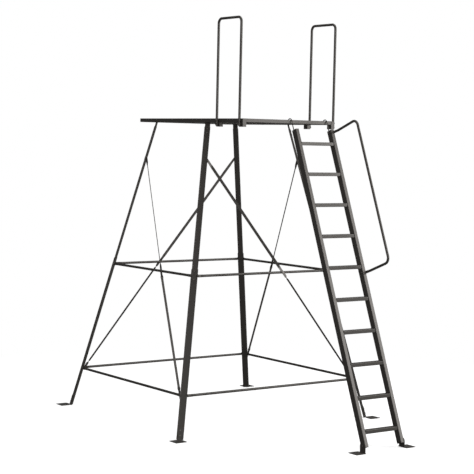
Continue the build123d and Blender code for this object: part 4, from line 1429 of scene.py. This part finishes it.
def weld_loop(surface, outline, origin, across, upward, lean, radius):
    """A weld bead along a closed outline.

    The bead's oval section is carried along the outline. Its radius swells and falls like a row
    of overlapping scales, radius * (0.92 + 0.16 * (1 - saw)), with one scale about every 4 mm.
    """
    steps = np.linalg.norm(np.roll(outline, -1, axis=0) - outline, axis=1)
    total = steps.sum()
    count = int(total / 0.0020)
    along = np.concatenate([[0.0], np.cumsum(steps)])
    place = np.arange(count) / count * total
    closed = np.vstack([outline, outline[:1]])
    loop = np.stack([np.interp(place, along, closed[:, i]) for i in range(2)], 1)
    ahead = unit(np.roll(loop, -1, axis=0) - np.roll(loop, 1, axis=0))
    normal = np.stack([ahead[:, 1], -ahead[:, 0]], 1)
    scales = max(1, round(total / 0.0042))
    saw = np.mod(place / total * scales, 1.0)
    size = radius * (0.92 + 0.16 * (1 - saw))
    angle = np.arange(8) / 8 * 2 * np.pi
    outward = normal[:, None] * (np.cos(angle) * 0.75)[None, :, None] * size[:, None, None]
    flat = loop[:, None] + outward
    rise = np.sin(angle)[None] * size[:, None]
    rings = (origin + flat[..., :1] * across + flat[..., 1:] * upward + rise[..., None] * lean)
    surface.add(rings, 0.0, wrap=True)


class STAND_OT_welds(bpy.types.Operator):
    """Weld beads round the ends of the treads, the deck's cross tubes and the leg stubs"""

    bl_idname = "stand.welds"
    bl_label = "Make Welds"
    bl_options = {"REGISTER", "UNDO"}

    def execute(self, context):
        coats = finishes(context)
        detail = context.scene.stand_detail
        ladder = Surface()
        tread, _ = box_outline(TREAD[0] + 0.001, TREAD[1] + 0.001, 0.0035)
        for height in TREAD_HEIGHTS:
            for x, inward in ((LEFT_STILE_X + STILE[0] / 2, 1), (RIGHT_STILE_X - STILE[0] / 2, -1)):
                weld_loop(ladder, tread, ladder_point(x, height), Y_AXIS, UP, X_AXIS * inward, detail.weld)

        deck = Surface()
        for node in CROSS_TUBES + JOISTS:
            low, high = (np.array(corner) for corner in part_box(node))
            size, middle = high - low, (low + high) / 2
            height = size[2] - (0.001 if node in JOISTS else 0.006)
            outline, _ = box_outline(size[1] - 0.001, height, 0.004)
            for x, inward in ((low[0], 1), (high[0], -1)):
                origin = np.array([x, middle[1], middle[2]])
                weld_loop(deck, outline, origin, Y_AXIS, UP, X_AXIS * inward, detail.weld * 0.9)
        for corner in CORNERS.values():
            _, _, width, diagonal = leg_frame(corner)
            shift = LOWER_LEG[1] / 2 - 2 * CHANNEL_WALL - STUB_LEG[1] / 2
            outline, _ = channel_outline(*STUB_LEG)
            flat = unit(np.array([width[0], width[1], 0.0]))
            origin = leg_point(corner, DECK_UNDERSIDE) + diagonal * shift
            weld_loop(deck, outline, origin, -flat, diagonal, UP, detail.weld * 0.8)
        made = [
            ladder.build("ladder_welds", coats["weld_coat"], "ladder", "powder_coat", (), 60.0),
            deck.build("deck_welds", coats["weld_coat"], "tower", "powder_coat", (), 60.0),
        ]
        return finished(self, made)


def seen_or_not(tree, seen, unseen, output):
    """Shows one shader to the camera, and uses the other, dimmer one for the light it gives."""
    path = tree.nodes.new("ShaderNodeLightPath")
    either = tree.nodes.new("ShaderNodeMixShader")
    tree.links.new(path.outputs["Is Camera Ray"], either.inputs[0])
    tree.links.new(unseen.outputs[0], either.inputs[1])
    tree.links.new(seen.outputs[0], either.inputs[2])
    tree.links.new(either.outputs[0], tree.nodes[output].inputs["Surface"])


def studio_paper(stage):
    """Pale paper that glows a little where it is looked at."""
    paper = bpy.data.materials.new("studio_paper")
    paper.use_nodes = True
    tree = paper.node_tree
    shader = tree.nodes["Principled BSDF"]
    shader.inputs["Base Color"].default_value = (*stage.floor, 1.0)
    shader.inputs["Roughness"].default_value = 0.85
    shader.inputs["Emission Color"].default_value = (1.0, 1.0, 1.0, 1.0)
    shader.inputs["Emission Strength"].default_value = stage.glow
    dim = tree.nodes.new("ShaderNodeBsdfDiffuse")
    dim.inputs["Color"].default_value = (stage.bounce, stage.bounce, stage.bounce, 1.0)
    seen_or_not(tree, shader, dim, "Material Output")
    return paper


def studio_floor(stage):
    """A flat disc, as rings of points at radius * (cos, sin), closed by a small middle face."""
    radius = FLOOR_RADIUS * np.array([0.004, 0.2, 0.4, 0.6, 0.8, 1.0])
    circle = np.pad(circle_outline(1.0, FLOOR_SIDES), ((0, 0), (0, 1)))
    rings = radius[:, None, None] * circle
    index = np.arange(len(radius) * FLOOR_SIDES).reshape(-1, FLOOR_SIDES)
    here, there = index[:-1], index[1:]
    quads = np.stack([here, there, np.roll(there, -1, 1), np.roll(here, -1, 1)], -1)
    mesh = bpy.data.meshes.new("studio_floor")
    faces = quads.reshape(-1, 4).tolist() + [index[0].tolist()]
    mesh.from_pydata(rings.reshape(-1, 3).tolist(), [], faces)
    mesh.shade_smooth()
    mesh.materials.append(studio_paper(stage))
    return bpy.data.objects.new("studio_floor", mesh)


def studio_air(stage):
    """A plain white backdrop that lights the stand only as much as the sky setting says."""
    world = bpy.data.worlds.new("studio_air")
    world.use_nodes = True
    tree = world.node_tree
    backdrop = tree.nodes["Background"]
    sky = tree.nodes.new("ShaderNodeBackground")
    for shader, strength in ((backdrop, stage.backdrop), (sky, stage.sky)):
        shader.inputs["Color"].default_value = (1.0, 1.0, 1.0, 1.0)
        shader.inputs["Strength"].default_value = strength
    seen_or_not(tree, backdrop, sky, "World Output")
    return world


def softbox(name, place, target, size, power):
    """A square soft light that faces its target."""
    lamp = bpy.data.lights.new(name, "AREA")
    lamp.size = size
    lamp.energy = power
    holder = bpy.data.objects.new(name, lamp)
    away = unit(np.array(place) - np.array(target))
    side = unit(np.cross(UP if abs(away[2]) < 0.98 else Y_AXIS, away))
    turn = Matrix(np.stack([side, np.cross(away, side), away], 1).tolist()).to_4x4()
    holder.matrix_world = Matrix.Translation(place) @ turn
    return holder


def studio_camera(stage):
    """A long lens a little below the deck's height, turned by yaw, pitch and roll."""
    data = bpy.data.cameras.new("studio_camera")
    data.sensor_width = 36.0
    data.lens = stage.lens
    data.clip_end = 200.0
    camera = bpy.data.objects.new("studio_camera", data)
    yaw, pitch, roll = CAMERA_YAW, CAMERA_PITCH, CAMERA_ROLL
    forward = np.array([np.sin(yaw) * np.cos(pitch), np.cos(yaw) * np.cos(pitch), np.sin(pitch)])
    level = np.array([np.cos(yaw), -np.sin(yaw), 0.0])
    over = np.cross(level, forward)
    right = np.cos(roll) * level + np.sin(roll) * over
    above = -np.sin(roll) * level + np.cos(roll) * over
    turn = Matrix(np.stack([right, above, -forward], 1).tolist()).to_4x4()
    camera.matrix_world = Matrix.Translation(deck_point(*CAMERA_PLACE).tolist()) @ turn
    return camera


class STAND_OT_stage(bpy.types.Operator):
    """A round pale floor, a plain backdrop, three soft lights and the camera"""

    bl_idname = "stand.stage"
    bl_label = "Make Stage"
    bl_options = {"REGISTER", "UNDO"}

    def execute(self, context):
        scene, stage = context.scene, context.scene.stand_stage
        floor = studio_floor(stage)
        scene.collection.objects.link(floor)
        scene.world = studio_air(stage)
        for name, (place, target, size, setting) in SOFTBOXES.items():
            scene.collection.objects.link(softbox(name, place, target, size, getattr(stage, setting)))
        scene.camera = studio_camera(stage)
        scene.collection.objects.link(scene.camera)
        scene.view_settings.view_transform = "Standard"
        return {"FINISHED"}


class STAND_PT_panel(bpy.types.Panel):
    """Lists the stand's makers and settings"""

    bl_label = "Ladder Stand"
    bl_idname = "STAND_PT_panel"
    bl_space_type = "VIEW_3D"
    bl_region_type = "UI"
    bl_category = "Ladder Stand"

    def draw(self, context):
        for operator in MAKERS:
            self.layout.operator(operator.bl_idname)
        for group in (context.scene.stand_finish, context.scene.stand_detail, context.scene.stand_stage):
            box = self.layout.box()
            for name in group.__annotations__:
                box.prop(group, name)


MAKERS = (
    STAND_OT_stage, STAND_OT_legs, STAND_OT_leg_feet, STAND_OT_braces, STAND_OT_straps,
    STAND_OT_deck_frame, STAND_OT_deck_mesh, STAND_OT_side_rails, STAND_OT_rail_brackets,
    STAND_OT_stiles, STAND_OT_treads, STAND_OT_hooks, STAND_OT_grab_rail, STAND_OT_ladder_feet,
    STAND_OT_bolts, STAND_OT_welds,
)
GROUPS = {"stand_finish": StandFinish, "stand_detail": StandDetail, "stand_stage": StandStage}


def register():
    """Registers the settings, the makers and the panel."""
    for name, group in GROUPS.items():
        bpy.utils.register_class(group)
        setattr(bpy.types.Scene, name, PointerProperty(type=group))
    for maker in (*MAKERS, STAND_PT_panel):
        bpy.utils.register_class(maker)


def unregister():
    """Takes everything back out."""
    for maker in (STAND_PT_panel, *reversed(MAKERS)):
        bpy.utils.unregister_class(maker)
    for name, group in reversed(GROUPS.items()):
        delattr(bpy.types.Scene, name)
        bpy.utils.unregister_class(group)


def main():
    """Makes the whole stand."""
    register()
    for maker in MAKERS:
        family, action = maker.bl_idname.split(".")
        getattr(getattr(bpy.ops, family), action)()
    bpy.context.view_layer.update()


if __name__ == "__main__":
    main()
